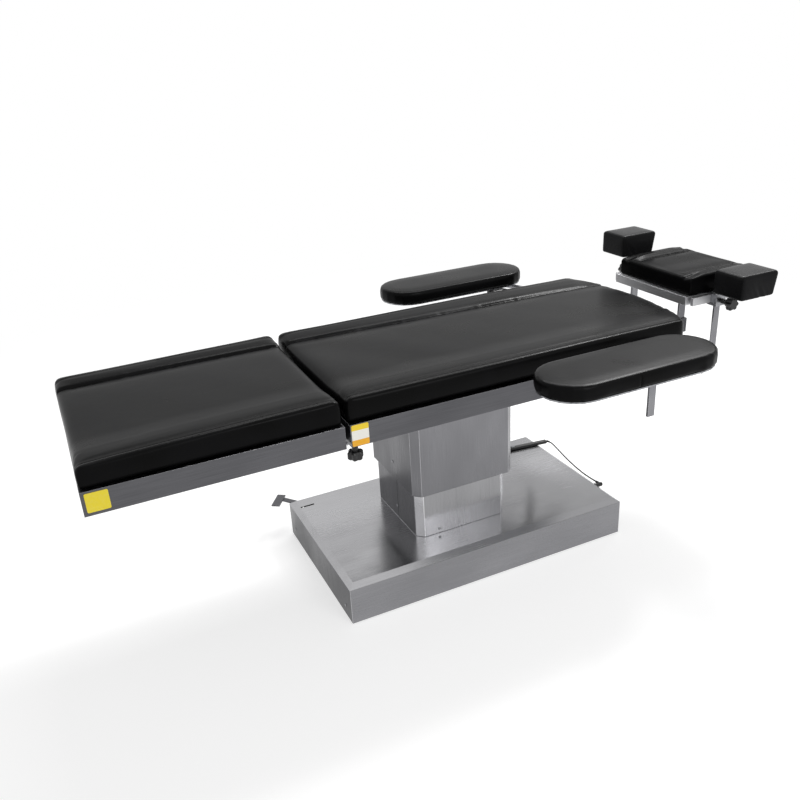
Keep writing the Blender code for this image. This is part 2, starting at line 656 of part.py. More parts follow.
def castors():
    """Lifting frame with four swivel castors."""
    x_out = CASTOR_X + CARRIER_WIDTH / 2
    y_out = CASTOR_Y + CARRIER_WIDTH / 2
    ring = folded(-x_out, x_out, y_out, [
        (0.0, CARRIER_BOTTOM), (0.0, CARRIER_TOP),
        (CARRIER_WIDTH, CARRIER_TOP), (CARRIER_WIDTH, CARRIER_BOTTOM)], closed=True)
    tongue_x = (PEDAL_X - 0.010, -CASTOR_X - CARRIER_WIDTH / 4)
    tongue_y = CASTOR_Y
    tongue = block(tongue_x, (tongue_y - 0.012, tongue_y + 0.012),
                   (CARRIER_BOTTOM + 0.001, CARRIER_TOP - 0.001))
    through = (CARRIER_BOTTOM - 0.005, CARRIER_TOP + 0.005)
    holes = []
    for x in (-CASTOR_X, CASTOR_X):
        for y in (-CASTOR_Y, CASTOR_Y):
            holes.append(rod("Z", (x, y), STEM_RADIUS + RUN, through[0], through[1], 20))
    for offset in (-CROSS_BEAM_OFFSET, CROSS_BEAM_OFFSET):
        for y in (-CASTOR_Y, CASTOR_Y):
            holes.append(rod("Z", (COLUMN_X + offset, y), GUIDE_PIN_RADIUS + RUN,
                             through[0], through[1], 16))
    place("castor_carrier", cut(weld(ring, tongue), *holes), "dark_steel")

    axle_z = WHEEL_RADIUS + WHEEL_CLEARANCE
    crown_top = CARRIER_BOTTOM - TOUCH
    crown_bottom = crown_top - CROWN_HEIGHT
    gap = WHEEL_WIDTH / 2 + 0.001
    for row, x in (("left", -CASTOR_X), ("right", CASTOR_X)):
        for side_name, side in sides():
            y = side * CASTOR_Y
            axle_x = x + CASTOR_TRAIL
            leg = [(x - 0.010, crown_bottom + 0.002), (axle_x - 0.007, axle_z - 0.004),
                   (axle_x, axle_z - 0.008), (axle_x + 0.007, axle_z - 0.004),
                   (x + 0.013, crown_bottom + 0.002)]
            legs = [prism(leg, "Y", y + a, y + a + FORK_PLATE) for a in (-gap - FORK_PLATE, gap)]
            stem = turned("Z", (x, y), [
                (CROWN_RADIUS, crown_bottom), (CROWN_RADIUS, crown_top),
                (STEM_RADIUS, crown_top + 0.0001), (STEM_RADIUS, CARRIER_TOP + TOUCH),
                (STEM_RADIUS + 0.004, CARRIER_TOP + TOUCH + 0.0001),
                (STEM_RADIUS + 0.004, CARRIER_TOP + 0.007)], 20)
            axle = rod("Y", (axle_x, axle_z), AXLE_RADIUS, y - gap - 0.001, y + gap + 0.001, 16)
            place(f"castor_fork_{row}_{side_name}", weld(stem, *legs, axle), "zinc", (x, y, axle_z))
            wheel = loft([lift_outline(circle((axle_x, axle_z), r, 28), "Y", h) for r, h in (
                (AXLE_RADIUS + RUN, y - WHEEL_WIDTH / 2), (WHEEL_RADIUS - 0.002, y - WHEEL_WIDTH / 2),
                (WHEEL_RADIUS, y - WHEEL_WIDTH / 2 + 0.002), (WHEEL_RADIUS, y + WHEEL_WIDTH / 2 - 0.002),
                (WHEEL_RADIUS - 0.002, y + WHEEL_WIDTH / 2), (AXLE_RADIUS + RUN, y + WHEEL_WIDTH / 2))],
                closed=True)
            place(f"castor_wheel_{row}_{side_name}", wheel, "rubber", (axle_x, y, axle_z))


def pedal():
    """Brake pedal: a lever with a cam over the carrier and a foot plate at the corner."""
    low = PEDAL_HEIGHT - PEDAL_BAR_THICKNESS / 2
    high = PEDAL_HEIGHT + PEDAL_BAR_THICKNESS / 2
    bend_y = BASE_SIDE + PEDAL_BEND
    half = PEDAL_BAR_WIDTH / 2
    cam_bottom = CARRIER_TOP + TOUCH
    cam = PEDAL_CAM_HALF
    profile = [(PEDAL_PIVOT_Y, low), (CASTOR_Y - cam - 0.006, low), (CASTOR_Y - cam, cam_bottom),
               (CASTOR_Y + cam, cam_bottom), (CASTOR_Y + cam + 0.006, low), (bend_y, low),
               (bend_y, high), (PEDAL_PIVOT_Y, high)]
    bar = prism(profile, "X", PEDAL_X - half, PEDAL_X + half)
    run = Vector((math.cos(PEDAL_PLATE_TURN), math.sin(PEDAL_PLATE_TURN)))
    middle = Vector((PEDAL_X - PEDAL_PLATE_SIDEWAYS, BASE_SIDE + PEDAL_PLATE_OUT))
    plate = prism(strip(middle - run * PEDAL_PLATE_LENGTH / 2, middle + run * PEDAL_PLATE_LENGTH / 2,
                        PEDAL_PLATE_WIDTH), "Z", high - 0.001, high - 0.001 + PEDAL_PLATE_THICKNESS)
    elbow = Vector((PEDAL_X, bend_y))
    arm = prism(strip(elbow, middle + run * PEDAL_PLATE_LENGTH * 0.28, PEDAL_BAR_WIDTH), "Z",
                low, high)
    knuckle = rod("Z", (PEDAL_X, bend_y), half, low, high, 16)
    pin = rod("X", (PEDAL_PIVOT_Y, PEDAL_HEIGHT), PEDAL_PIN_RADIUS,
              PEDAL_X - 0.024, PEDAL_X + 0.024, 16)
    eye = rod("X", (PEDAL_PIVOT_Y, PEDAL_HEIGHT), 0.009, PEDAL_X - half, PEDAL_X + half, 20)
    place("brake_pedal", weld(bar, knuckle, arm, plate, eye, pin), "dark_steel",
          (PEDAL_X, PEDAL_PIVOT_Y, PEDAL_HEIGHT))


def column():
    """Fixed cover and guide tube, the lift drive, and the moving tube and sleeve."""
    bottom = BASE_TOP + TOUCH
    outer = chamfered(COLUMN_X, COVER_LENGTH, COVER_WIDTH, COVER_CHAMFER)
    inner = chamfered(COLUMN_X, COVER_LENGTH - 2 * SHEET, COVER_WIDTH - 2 * SHEET,
                      COVER_CHAMFER - SHEET * 0.586)
    cover = loft([lift_outline(outer, "Z", bottom), lift_outline(outer, "Z", COVER_TOP),
                  lift_outline(inner, "Z", COVER_TOP), lift_outline(inner, "Z", bottom)],
                 closed=True)
    place("column_cover", cover, "brushed_steel")

    plate_top = BEAM_TOP - 0.003 + PLATE_THICKNESS
    guide = square_tube(GUIDE_LENGTH, GUIDE_WIDTH, GUIDE_WALL, plate_top + TOUCH, GUIDE_TOP)
    place("guide_tube", guide, "dark_steel")

    motor = turned("Z", (COLUMN_X, 0.0), [
        (MOTOR_RADIUS, plate_top + TOUCH), (MOTOR_RADIUS, plate_top + MOTOR_HEIGHT),
        (SPINDLE_NUT_RADIUS, plate_top + MOTOR_HEIGHT + 0.006),
        (SPINDLE_NUT_RADIUS, plate_top + 2 * MOTOR_HEIGHT)], 28)
    bore = rod("Z", (COLUMN_X, 0.0), SPINDLE_RADIUS + RUN,
               plate_top + 0.030, plate_top + 2 * MOTOR_HEIGHT + 0.010, 24)
    place("lift_motor", cut(motor, bore), "zinc")
    spindle = rod("Z", (COLUMN_X, 0.0), SPINDLE_RADIUS,
                  plate_top + 0.034 + LIFT_DOWN, HEAD_PLATE_BOTTOM - TOUCH, 24)
    place("lift_spindle", spindle, "zinc")

    sleeve_inside = SLEEVE_TOP - SHEET
    outer = chamfered(SLEEVE_MIDDLE, SLEEVE_LENGTH, SLEEVE_WIDTH, COVER_CHAMFER)
    inner = chamfered(SLEEVE_MIDDLE, SLEEVE_LENGTH - 2 * SHEET, SLEEVE_WIDTH - 2 * SHEET,
                      COVER_CHAMFER - SHEET * 0.586)
    sleeve = loft([lift_outline(outer, "Z", SLEEVE_TOP), lift_outline(outer, "Z", SLEEVE_BOTTOM),
                   lift_outline(inner, "Z", SLEEVE_BOTTOM), lift_outline(inner, "Z", sleeve_inside)])
    hole = block((COLUMN_X - INNER_LENGTH / 2 - RUN, COLUMN_X + INNER_LENGTH / 2 + RUN),
                 (-INNER_WIDTH / 2 - RUN, INNER_WIDTH / 2 + RUN),
                 (SLEEVE_TOP - 0.010, SLEEVE_TOP + 0.010))
    place("column_sleeve", cut(sleeve, hole), "brushed_steel", (COLUMN_X, 0.0, SLEEVE_TOP))


def square_tube(length, width, wall, bottom, top):
    """A rectangular tube about the column axis, open at both ends."""
    return folded(COLUMN_X - length / 2, COLUMN_X + length / 2, width / 2, [
        (0.0, bottom), (0.0, top), (wall, top), (wall, bottom)], closed=True)


def tilting_head():
    """Inner guide tube with its yoke, and the cross that tilts both ways."""
    tube = square_tube(INNER_LENGTH, INNER_WIDTH, INNER_WALL, INNER_BOTTOM,
                       HEAD_PLATE_BOTTOM + 0.001)
    over = 0.012
    plate = block((COLUMN_X - INNER_LENGTH / 2 - over, COLUMN_X + INNER_LENGTH / 2 + over),
                  (-INNER_WIDTH / 2 - over, INNER_WIDTH / 2 + over),
                  (HEAD_PLATE_BOTTOM, HEAD_PLATE_TOP))
    ears = []
    for start in (-EAR_OFFSET - EAR_THICKNESS, EAR_OFFSET):
        ears.append(prism(eye_outline((COLUMN_X, TILT_Z), EAR_RADIUS, HEAD_PLATE_TOP - 0.002, 0.026),
                          "Y", start, start + EAR_THICKNESS))
    bore = rod("Y", (COLUMN_X, TILT_Z), TRUNNION_RADIUS + RUN, -EAR_OFFSET - 0.02,
               EAR_OFFSET + 0.02, 24)
    yoke = cut(weld(tube, plate, *ears), bore)
    place("lift_tube", yoke, "dark_steel", (COLUMN_X, 0.0, HEAD_PLATE_TOP))

    body = block((COLUMN_X - CROSS_BODY, COLUMN_X + CROSS_BODY),
                 (-EAR_OFFSET + 0.004, EAR_OFFSET - 0.004), (TILT_Z - 0.012, TILT_Z + 0.012))
    along_y = rod("Y", (COLUMN_X, TILT_Z), TRUNNION_RADIUS,
                  -EAR_OFFSET - EAR_THICKNESS - 0.003, EAR_OFFSET + EAR_THICKNESS + 0.003, 24)
    reach = HANGER_OFFSET + EAR_THICKNESS / 2 + 0.003
    along_x = rod("X", (0.0, TILT_Z), TRUNNION_RADIUS, COLUMN_X - reach, COLUMN_X + reach, 24)
    place("tilt_cross", weld(body, along_y, along_x), "zinc", (COLUMN_X, 0.0, TILT_Z))


def eye_outline(centre, radius, foot, half_foot, steps=10):
    """A plate outline with a round eye at the top and a wide straight foot."""
    points = [(centre[0] - half_foot, foot), (centre[0] + half_foot, foot)]
    for i in range(steps + 1):
        angle = math.pi * i / steps
        points.append((centre[0] + radius * math.cos(angle), centre[1] + radius * math.sin(angle)))
    return points


def tray(x0, x1):
    """A downturned sheet tray with return lips: the frame under a cushion."""
    return folded(x0, x1, FRAME_HALF, [
        (0.0, RAIL_TOP), (0.0, RAIL_BOTTOM), (FRAME_LIP, RAIL_BOTTOM),
        (FRAME_LIP, RAIL_BOTTOM + FRAME_SHEET), (FRAME_SHEET, RAIL_BOTTOM + FRAME_SHEET),
        (FRAME_SHEET, RAIL_TOP - FRAME_SHEET)])


def knuckles(belongs_to_leg):
    """Every other knuckle of the knee hinge, each with the web to its own frame."""
    span = FRAME_WIDTH - 2 * FRAME_LIP
    count = int(span // KNUCKLE_LENGTH)
    first = -count * KNUCKLE_LENGTH / 2
    result = []
    for i in range(count):
        if (i % 2 == 0) == belongs_to_leg:
            continue
        start = first + i * KNUCKLE_LENGTH + TOUCH
        end = first + (i + 1) * KNUCKLE_LENGTH - TOUCH
        result.append(rod("Y", (KNEE_X, KNEE_Z), HINGE_RADIUS, start, end, 16))
        reach = KNEE_GAP / 2 + FRAME_SHEET / 2
        web = (KNEE_X - reach, KNEE_X) if belongs_to_leg else (KNEE_X, KNEE_X + reach)
        result.append(block(web, (start + 0.0002, end - 0.0002), (KNEE_Z - 0.005, KNEE_Z + 0.004)))
    return result


def seat_section():
    """Seat frame with ribs, tilt hangers, hinge knuckles and the sockets for the head arms."""
    frame = tray(SEAT_FRAME_START, SEAT_FRAME_END)
    under = RAIL_TOP - FRAME_SHEET
    parts = []
    for offset in SEAT_RIBS:
        x = COLUMN_X + offset
        parts.append(block((x, x + RIB_WIDTH), (-FRAME_HALF + 0.001, FRAME_HALF - 0.001),
                           (under - RIB_HEIGHT, under + 0.001)))
    for side in (-1, 1):
        middle = COLUMN_X + side * HANGER_OFFSET
        outline = [(y, 2 * TILT_Z - z) for y, z in
                   eye_outline((0.0, TILT_Z), EAR_RADIUS, 2 * TILT_Z - under - 0.001, 0.024)]
        parts.append(prism(outline, "X", middle - EAR_THICKNESS / 2, middle + EAR_THICKNESS / 2))
    half = HEAD_ARM_WIDTH / 2 + RUN + SOCKET_WALL
    thick = HEAD_ARM_THICKNESS / 2 + RUN + SOCKET_WALL
    beam_top = SOCKET_BOTTOM + SOCKET_HEIGHT - 0.008
    cuts = []
    for side in (-1, 1):
        y = side * HEAD_ARM_Y
        parts.append(block((SEAT_FRAME_END - 0.040, HEAD_PIVOT_X - HEAD_ARM_WIDTH / 2 - SOCKET_WALL / 2),
                           (y - HEAD_BEAM / 2, y + HEAD_BEAM / 2), (beam_top - HEAD_BEAM, beam_top)))
        parts.append(block((HEAD_PIVOT_X - half, HEAD_PIVOT_X + half), (y - thick, y + thick),
                           (SOCKET_BOTTOM, SOCKET_BOTTOM + SOCKET_HEIGHT)))
        cuts.append(block((HEAD_PIVOT_X - HEAD_ARM_WIDTH / 2 - RUN, HEAD_PIVOT_X + HEAD_ARM_WIDTH / 2 + RUN),
                          (y - HEAD_ARM_THICKNESS / 2 - RUN, y + HEAD_ARM_THICKNESS / 2 + RUN),
                          (SOCKET_BOTTOM - 0.010, SOCKET_BOTTOM + SOCKET_HEIGHT + 0.010)))
        cuts.append(rod("Z", (KNEE_KNOB_X, side * KNEE_KNOB_Y), STUD_RADIUS + RUN,
                        RAIL_BOTTOM - 0.005, RAIL_BOTTOM + 0.010, 16))
    cuts.append(rod("X", (0.0, TILT_Z), TRUNNION_RADIUS + RUN, COLUMN_X - HANGER_OFFSET - 0.02,
                    COLUMN_X + HANGER_OFFSET + 0.02, 24))
    cuts.append(hinge_bore())
    body = weld(frame, *parts, *knuckles(False))
    place("seat_frame", cut(body, *cuts), "brushed_steel", (COLUMN_X, 0.0, TILT_Z))


def hinge_bore():
    """The bore that the knee rod runs in."""
    return rod("Y", (KNEE_X, KNEE_Z), HINGE_ROD_RADIUS + RUN, -FRAME_HALF, FRAME_HALF, 16)


def leg_section():
    """Leg frame with its knuckles, and the rod through the knee."""
    frame = tray(LEG_END, LEG_FRAME_END)
    under = RAIL_TOP - FRAME_SHEET
    middle = (LEG_END + LEG_FRAME_END) / 2
    rib = block((middle - RIB_WIDTH / 2, middle + RIB_WIDTH / 2), (-FRAME_HALF + 0.001, FRAME_HALF - 0.001),
                (under - RIB_HEIGHT, under + 0.001))
    body = cut(weld(frame, rib, *knuckles(True)), hinge_bore())
    place("leg_frame", body, "brushed_steel", (KNEE_X, 0.0, KNEE_Z))
    reach = FRAME_HALF - FRAME_LIP + 0.012
    rod_mesh = rod("Y", (KNEE_X, KNEE_Z), HINGE_ROD_RADIUS, -reach, reach, 16)
    place("knee_rod", rod_mesh, "zinc", (KNEE_X, 0.0, KNEE_Z))


def knee_knobs():
    """Clamp knobs with studs through the seat frame's lower lip."""
    top = RAIL_BOTTOM - KNOB_DROP
    for name, side in sides():
        centre = (KNEE_KNOB_X, side * KNEE_KNOB_Y)
        head = star_knob("Z", centre, top - KNOB_THICKNESS, top)
        stud = turned("Z", centre, [
            (KNOB_COLLAR_RADIUS, top - 0.002), (KNOB_COLLAR_RADIUS, RAIL_BOTTOM - 0.004),
            (STUD_RADIUS, RAIL_BOTTOM - 0.0035), (STUD_RADIUS, RAIL_BOTTOM + 0.018)], 16)
        place(f"knee_knob_{name}", weld(head, stud), "black_plastic", (*centre, top))


def cushion_loops(outline_at, bottom, top, rounding):
    """Stack plan outlines into a pad with a softened top and bottom rim."""
    steps = [(rounding * 0.3, bottom), (0.0, bottom + rounding * 0.4), (0.0, top - rounding),
             (rounding * 0.3, top - rounding * 0.3), (rounding, top)]
    return [lift_outline(outline_at(inset), "Z", height) for inset, height in steps]


# A rim's shape: share of its width from the edge, and share of its rise
RIM_OUTSIDE = ((0.0, 0.0), (0.045, 0.62), (0.16, 0.88))
RIM_INSIDE = ((0.34, 1.0), (0.62, 0.62), (1.0, 0.0))


def rimmed_section(x, half, drop, rim):
    """Section of a cushion at one station: its half width, how far its top is drawn down,
    and how much of the full rise its rims have there."""
    width = RIM_WIDTH * half / CUSHION_HALF
    side_top = CUSHION_SIDE_TOP - drop
    top = CUSHION_TOP - drop
    crest = top + RIM_RISE * rim
    profile = [(0.0, CUSHION_BOTTOM)]
    profile += [(across, side_top + up * (crest - side_top)) for across, up in RIM_OUTSIDE]
    profile += [(across, top + up * (crest - top)) for across, up in RIM_INSIDE]
    near = [(x, -half + share * width, z) for share, z in profile]
    return near + [(x, -y, z) for x, y, z in reversed(near)]


def end_rounding(end, inward):
    """Stations that round a cushion's square end off, from the end face inwards."""
    r = CUSHION_ROUND
    return [(end, r * 0.55, r), (end + inward * r * 0.25, r * 0.2, r * 0.42),
            (end + inward * r, 0.0, 0.0)]


def cushions():
    """Seat and leg cushions."""
    loops = []
    for x, inset, drop in end_rounding(SEAT_FRAME_START, 1):
        loops.append(rimmed_section(x, CUSHION_HALF - inset, drop, 1.0))
    fade_start = SEAT_CUSHION_SHOULDER - SEAT_RIM_FADE
    for i in range(5):
        x = fade_start + (SEAT_CUSHION_SHOULDER - fade_start) * i / 4
        loops.append(rimmed_section(x, CUSHION_HALF, 0.0, 1.0 - (1.0 - RIM_AT_SHOULDER) * i / 4))
    steps = 12
    for i in range(1, steps + 1):
        reach = math.sin(math.pi / 2 * i / steps)
        half = CUSHION_HALF * max(0.012, (1.0 - reach ** 2) ** 0.77)
        fall = max(0.0, reach - BOW_ROUND_FROM) / (1.0 - BOW_ROUND_FROM)
        loops.append(rimmed_section(SEAT_CUSHION_SHOULDER + SEAT_BOW * reach, half,
                                    BOW_DROP * fall ** 2, RIM_AT_SHOULDER * (1.0 - reach)))
    place("seat_cushion", loft(loops), "leatherette", (COLUMN_X, 0.0, TILT_Z))

    stations = end_rounding(LEG_END, 1)
    span = LEG_FRAME_END - LEG_END - 2 * CUSHION_ROUND
    for i in range(1, 8):
        stations.append((LEG_END + CUSHION_ROUND + span * i / 8, 0.0, 0.0))
    stations += reversed(end_rounding(LEG_FRAME_END, -1))
    loops = []
    for x, inset, drop in stations:
        droop = LEG_CUSHION_DROOP * ((LEG_FRAME_END - x) / (LEG_FRAME_END - LEG_END)) ** 2
        loops.append(rimmed_section(x, CUSHION_HALF - inset, drop + droop, 1.0))
    place("leg_cushion", loft(loops), "leatherette", (KNEE_X, 0.0, KNEE_Z))


def head_section():
    """Sliding arms, the pivoting head frame with its side rails, and the pivot rod."""
    outer = HEAD_ARM_Y + HEAD_ARM_THICKNESS / 2
    inner = HEAD_ARM_Y - HEAD_ARM_THICKNESS / 2
    arm_top = HEAD_PIVOT_Z + HEAD_ARM_TOP
    tie = HEAD_ARM_BOTTOM + HEAD_TIE_HEIGHT
    outline = [(-outer, HEAD_ARM_BOTTOM), (outer, HEAD_ARM_BOTTOM), (outer, arm_top),
               (inner, arm_top), (inner, tie), (-inner, tie), (-inner, arm_top), (-outer, arm_top)]
    arms = prism(outline, "X", HEAD_PIVOT_X - HEAD_ARM_WIDTH / 2, HEAD_PIVOT_X + HEAD_ARM_WIDTH / 2)
    pivot_bore = rod("Y", (HEAD_PIVOT_X, HEAD_PIVOT_Z), HEAD_ROD_RADIUS + RUN,
                     -outer - 0.01, outer + 0.01, 16)
    place("head_arms", cut(arms, pivot_bore), "brushed_steel", (HEAD_PIVOT_X, 0.0, HEAD_PIVOT_Z))
    pivot = rod("Y", (HEAD_PIVOT_X, HEAD_PIVOT_Z), HEAD_ROD_RADIUS, -outer - 0.004, outer + 0.004, 16)
    place("head_pivot_rod", pivot, "zinc", (HEAD_PIVOT_X, 0.0, HEAD_PIVOT_Z))

    frame = folded(HEAD_FRONT, HEAD_BACK, HEAD_HALF, [
        (0.0, HEAD_RAIL_TOP), (0.0, HEAD_RAIL_BOTTOM), (HEAD_BAR, HEAD_RAIL_BOTTOM),
        (HEAD_BAR, HEAD_RAIL_TOP - SHEET)])
    parts = []
    for side in (-1, 1):
        lug = sorted((side * (inner - TOUCH), side * (inner - TOUCH - LUG_THICKNESS)))
        parts.append(block((HEAD_PIVOT_X - LUG_HALF, HEAD_PIVOT_X + LUG_HALF), lug,
                           (HEAD_PIVOT_Z - LUG_HALF, HEAD_RAIL_TOP - SHEET / 2)))
        rail = sorted((side * SIDE_RAIL_INNER, side * SIDE_RAIL_OUTER))
        parts.append(block((SIDE_RAIL_START, SIDE_RAIL_END), rail, (HEAD_RAIL_BOTTOM, SIDE_RAIL_TOP)))
        spacer = sorted((side * (HEAD_HALF - HEAD_BAR / 2), side * (SIDE_RAIL_INNER + 0.002)))
        for x in (SIDE_RAIL_START + SPACER_INSET, SIDE_RAIL_END - SPACER_INSET):
            parts.append(rod("Y", (x, HEAD_RAIL_BOTTOM + SIDE_RAIL_HEIGHT / 2), SPACER_RADIUS,
                             spacer[0], spacer[1], 16))
    place("head_frame", cut(weld(frame, *parts), pivot_bore), "brushed_steel",
          (HEAD_PIVOT_X, 0.0, HEAD_PIVOT_Z))


def head_cushion():
    """Concave head cushion with a raised bolster along each long side."""
    half = HEAD_CUSHION_WIDTH / 2
    bottom = HEAD_RAIL_TOP + TOUCH
    edge = 0.014
    stations = [(HEAD_CUSHION_FRONT, 0.0, edge * 0.7), (HEAD_CUSHION_FRONT + edge, 0.25, 0.0),
                (HEAD_CUSHION_FRONT + BOLSTER_RAMP, 1.0, 0.0),
                (HEAD_CUSHION_BACK - BOLSTER_RAMP, 1.0, 0.0),
                (HEAD_CUSHION_BACK - edge, 0.55, 0.0), (HEAD_CUSHION_BACK, 0.0, edge * 0.7)]
    across = (-1.0, -0.94, -0.76, -0.5, 0.0, 0.5, 0.76, 0.94, 1.0)
    loops = []
    for x, rise, sink in stations:
        loop = [(x, -half, bottom), (x, half, bottom)]
        for share in reversed(across):
            y = share * half
            bolster = BOLSTER_RISE * rise * math.exp(-((abs(y) - BOLSTER_Y) / 0.028) ** 2)
            rim = 0.020 * max(0.0, abs(share) - 0.82) / 0.18
            loop.append((x, y, HEAD_CUSHION_TOP + bolster - rim - sink))
        loops.append(loop)
    place("head_cushion", loft(loops), "leatherette", (HEAD_PIVOT_X, 0.0, HEAD_PIVOT_Z))


def wrist_rests():
    """Clamps on the side rails, their knobs, and the posts with the wrist cushions."""
    low = HEAD_RAIL_BOTTOM
    high = SIDE_RAIL_TOP
    back = SIDE_RAIL_INNER - RUN - CLAMP_LIP
    hook = 0.006
    profile = [
        (CLAMP_FACE, low - CLAMP_BOTTOM_WALL), (CLAMP_FACE, high + CLAMP_WALL),
        (back, high + CLAMP_WALL), (back, high - hook), (SIDE_RAIL_INNER - RUN, high - hook),
        (SIDE_RAIL_INNER - RUN, high + RUN), (SIDE_RAIL_OUTER + RUN, high + RUN),
        (SIDE_RAIL_OUTER + RUN, low - RUN), (SIDE_RAIL_INNER - RUN, low - RUN),
        (SIDE_RAIL_INNER - RUN, low + hook), (back, low + hook), (back, low - CLAMP_BOTTOM_WALL)]
    body = prism(profile, "X", CLAMP_X - CLAMP_LENGTH / 2, CLAMP_X + CLAMP_LENGTH / 2)
    slot = block((CLAMP_X - POST_WIDTH / 2 - RUN, CLAMP_X + POST_WIDTH / 2 + RUN),
                 (POST_Y - POST_THICKNESS / 2 - RUN, POST_Y + POST_THICKNESS / 2 + RUN),
                 (low - 0.030, high + 0.030))
    screw_hole = rod("Y", (CLAMP_X, WRIST_KNOB_Z), STUD_RADIUS + RUN, POST_Y, CLAMP_FACE + 0.010, 16)
    clamp = cut(body, slot, screw_hole)

    knob = star_knob("Y", (CLAMP_X, WRIST_KNOB_Z), WRIST_KNOB_Y, WRIST_KNOB_Y + KNOB_THICKNESS)
    stud = turned("Y", (CLAMP_X, WRIST_KNOB_Z), [
        (STUD_RADIUS, POST_Y + POST_THICKNESS / 2 + TOUCH), (STUD_RADIUS, CLAMP_FACE + 0.004),
        (KNOB_COLLAR_RADIUS, CLAMP_FACE + 0.0045), (KNOB_COLLAR_RADIUS, WRIST_KNOB_Y + 0.002)], 16)
    knob = weld(knob, stud)

    for name, side in sides():
        lift = FAR_WRIST_RAISE if side > 0 else 0.0
        pivot = (CLAMP_X, side * POST_Y, SIDE_RAIL_TOP)
        place(f"wrist_clamp_{name}", mirrored(clamp, side), "zinc", pivot)
        place(f"wrist_knob_{name}", mirrored(knob, side), "black_plastic",
              (CLAMP_X, side * WRIST_KNOB_Y, WRIST_KNOB_Z))
        plate_top = WRIST_BOTTOM - TOUCH + lift
        plate_bottom = plate_top - POST_PLATE_THICKNESS
        outline = [(POST_Y - POST_THICKNESS / 2, NEAR_POST_BOTTOM + lift),
                   (POST_Y + POST_THICKNESS / 2, NEAR_POST_BOTTOM + lift),
                   (POST_Y + POST_THICKNESS / 2, plate_bottom), (POST_PLATE_REACH, plate_bottom),
                   (POST_PLATE_REACH, plate_top), (POST_Y - POST_THICKNESS / 2, plate_top)]
        post = prism(outline, "X", CLAMP_X - POST_WIDTH / 2, CLAMP_X + POST_WIDTH / 2)
        place(f"wrist_post_{name}", mirrored(post, side), "brushed_steel", pivot)

        def wrist_outline(inset):
            x0 = WRIST_FRONT + inset
            x1 = WRIST_FRONT + WRIST_LENGTH - inset
            y0 = WRIST_INNER + inset
            y1 = WRIST_INNER + WRIST_WIDTH - inset
            c = WRIST_ROUND * 0.5
            return [(x0 + c, y0), (x1 - c, y0), (x1, y0 + c), (x1, y1 - c),
                    (x1 - c, y1), (x0 + c, y1), (x0, y1 - c), (x0, y0 + c)]

        pad = loft(cushion_loops(wrist_outline, WRIST_BOTTOM + lift,
                                 WRIST_BOTTOM + WRIST_HEIGHT + lift, WRIST_ROUND))
        place(f"wrist_cushion_{name}", mirrored(pad, side), "leatherette", pivot)


def stadium(inset, steps=10):
    """Plan of an armrest: a bar with round ends, made for +Y."""
    radius = PAD_WIDTH / 2
    own = radius - inset
    y = PAD_INNER + radius
    ends = ((PAD_FOOT + PAD_LENGTH - radius, -math.pi / 2), (PAD_FOOT + radius, math.pi / 2))
    points = []
    for middle, start in ends:
        for i in range(steps + 1):
            angle = start + math.pi * i / steps
            points.append((middle + own * math.cos(angle), y + own * math.sin(angle)))
    return points


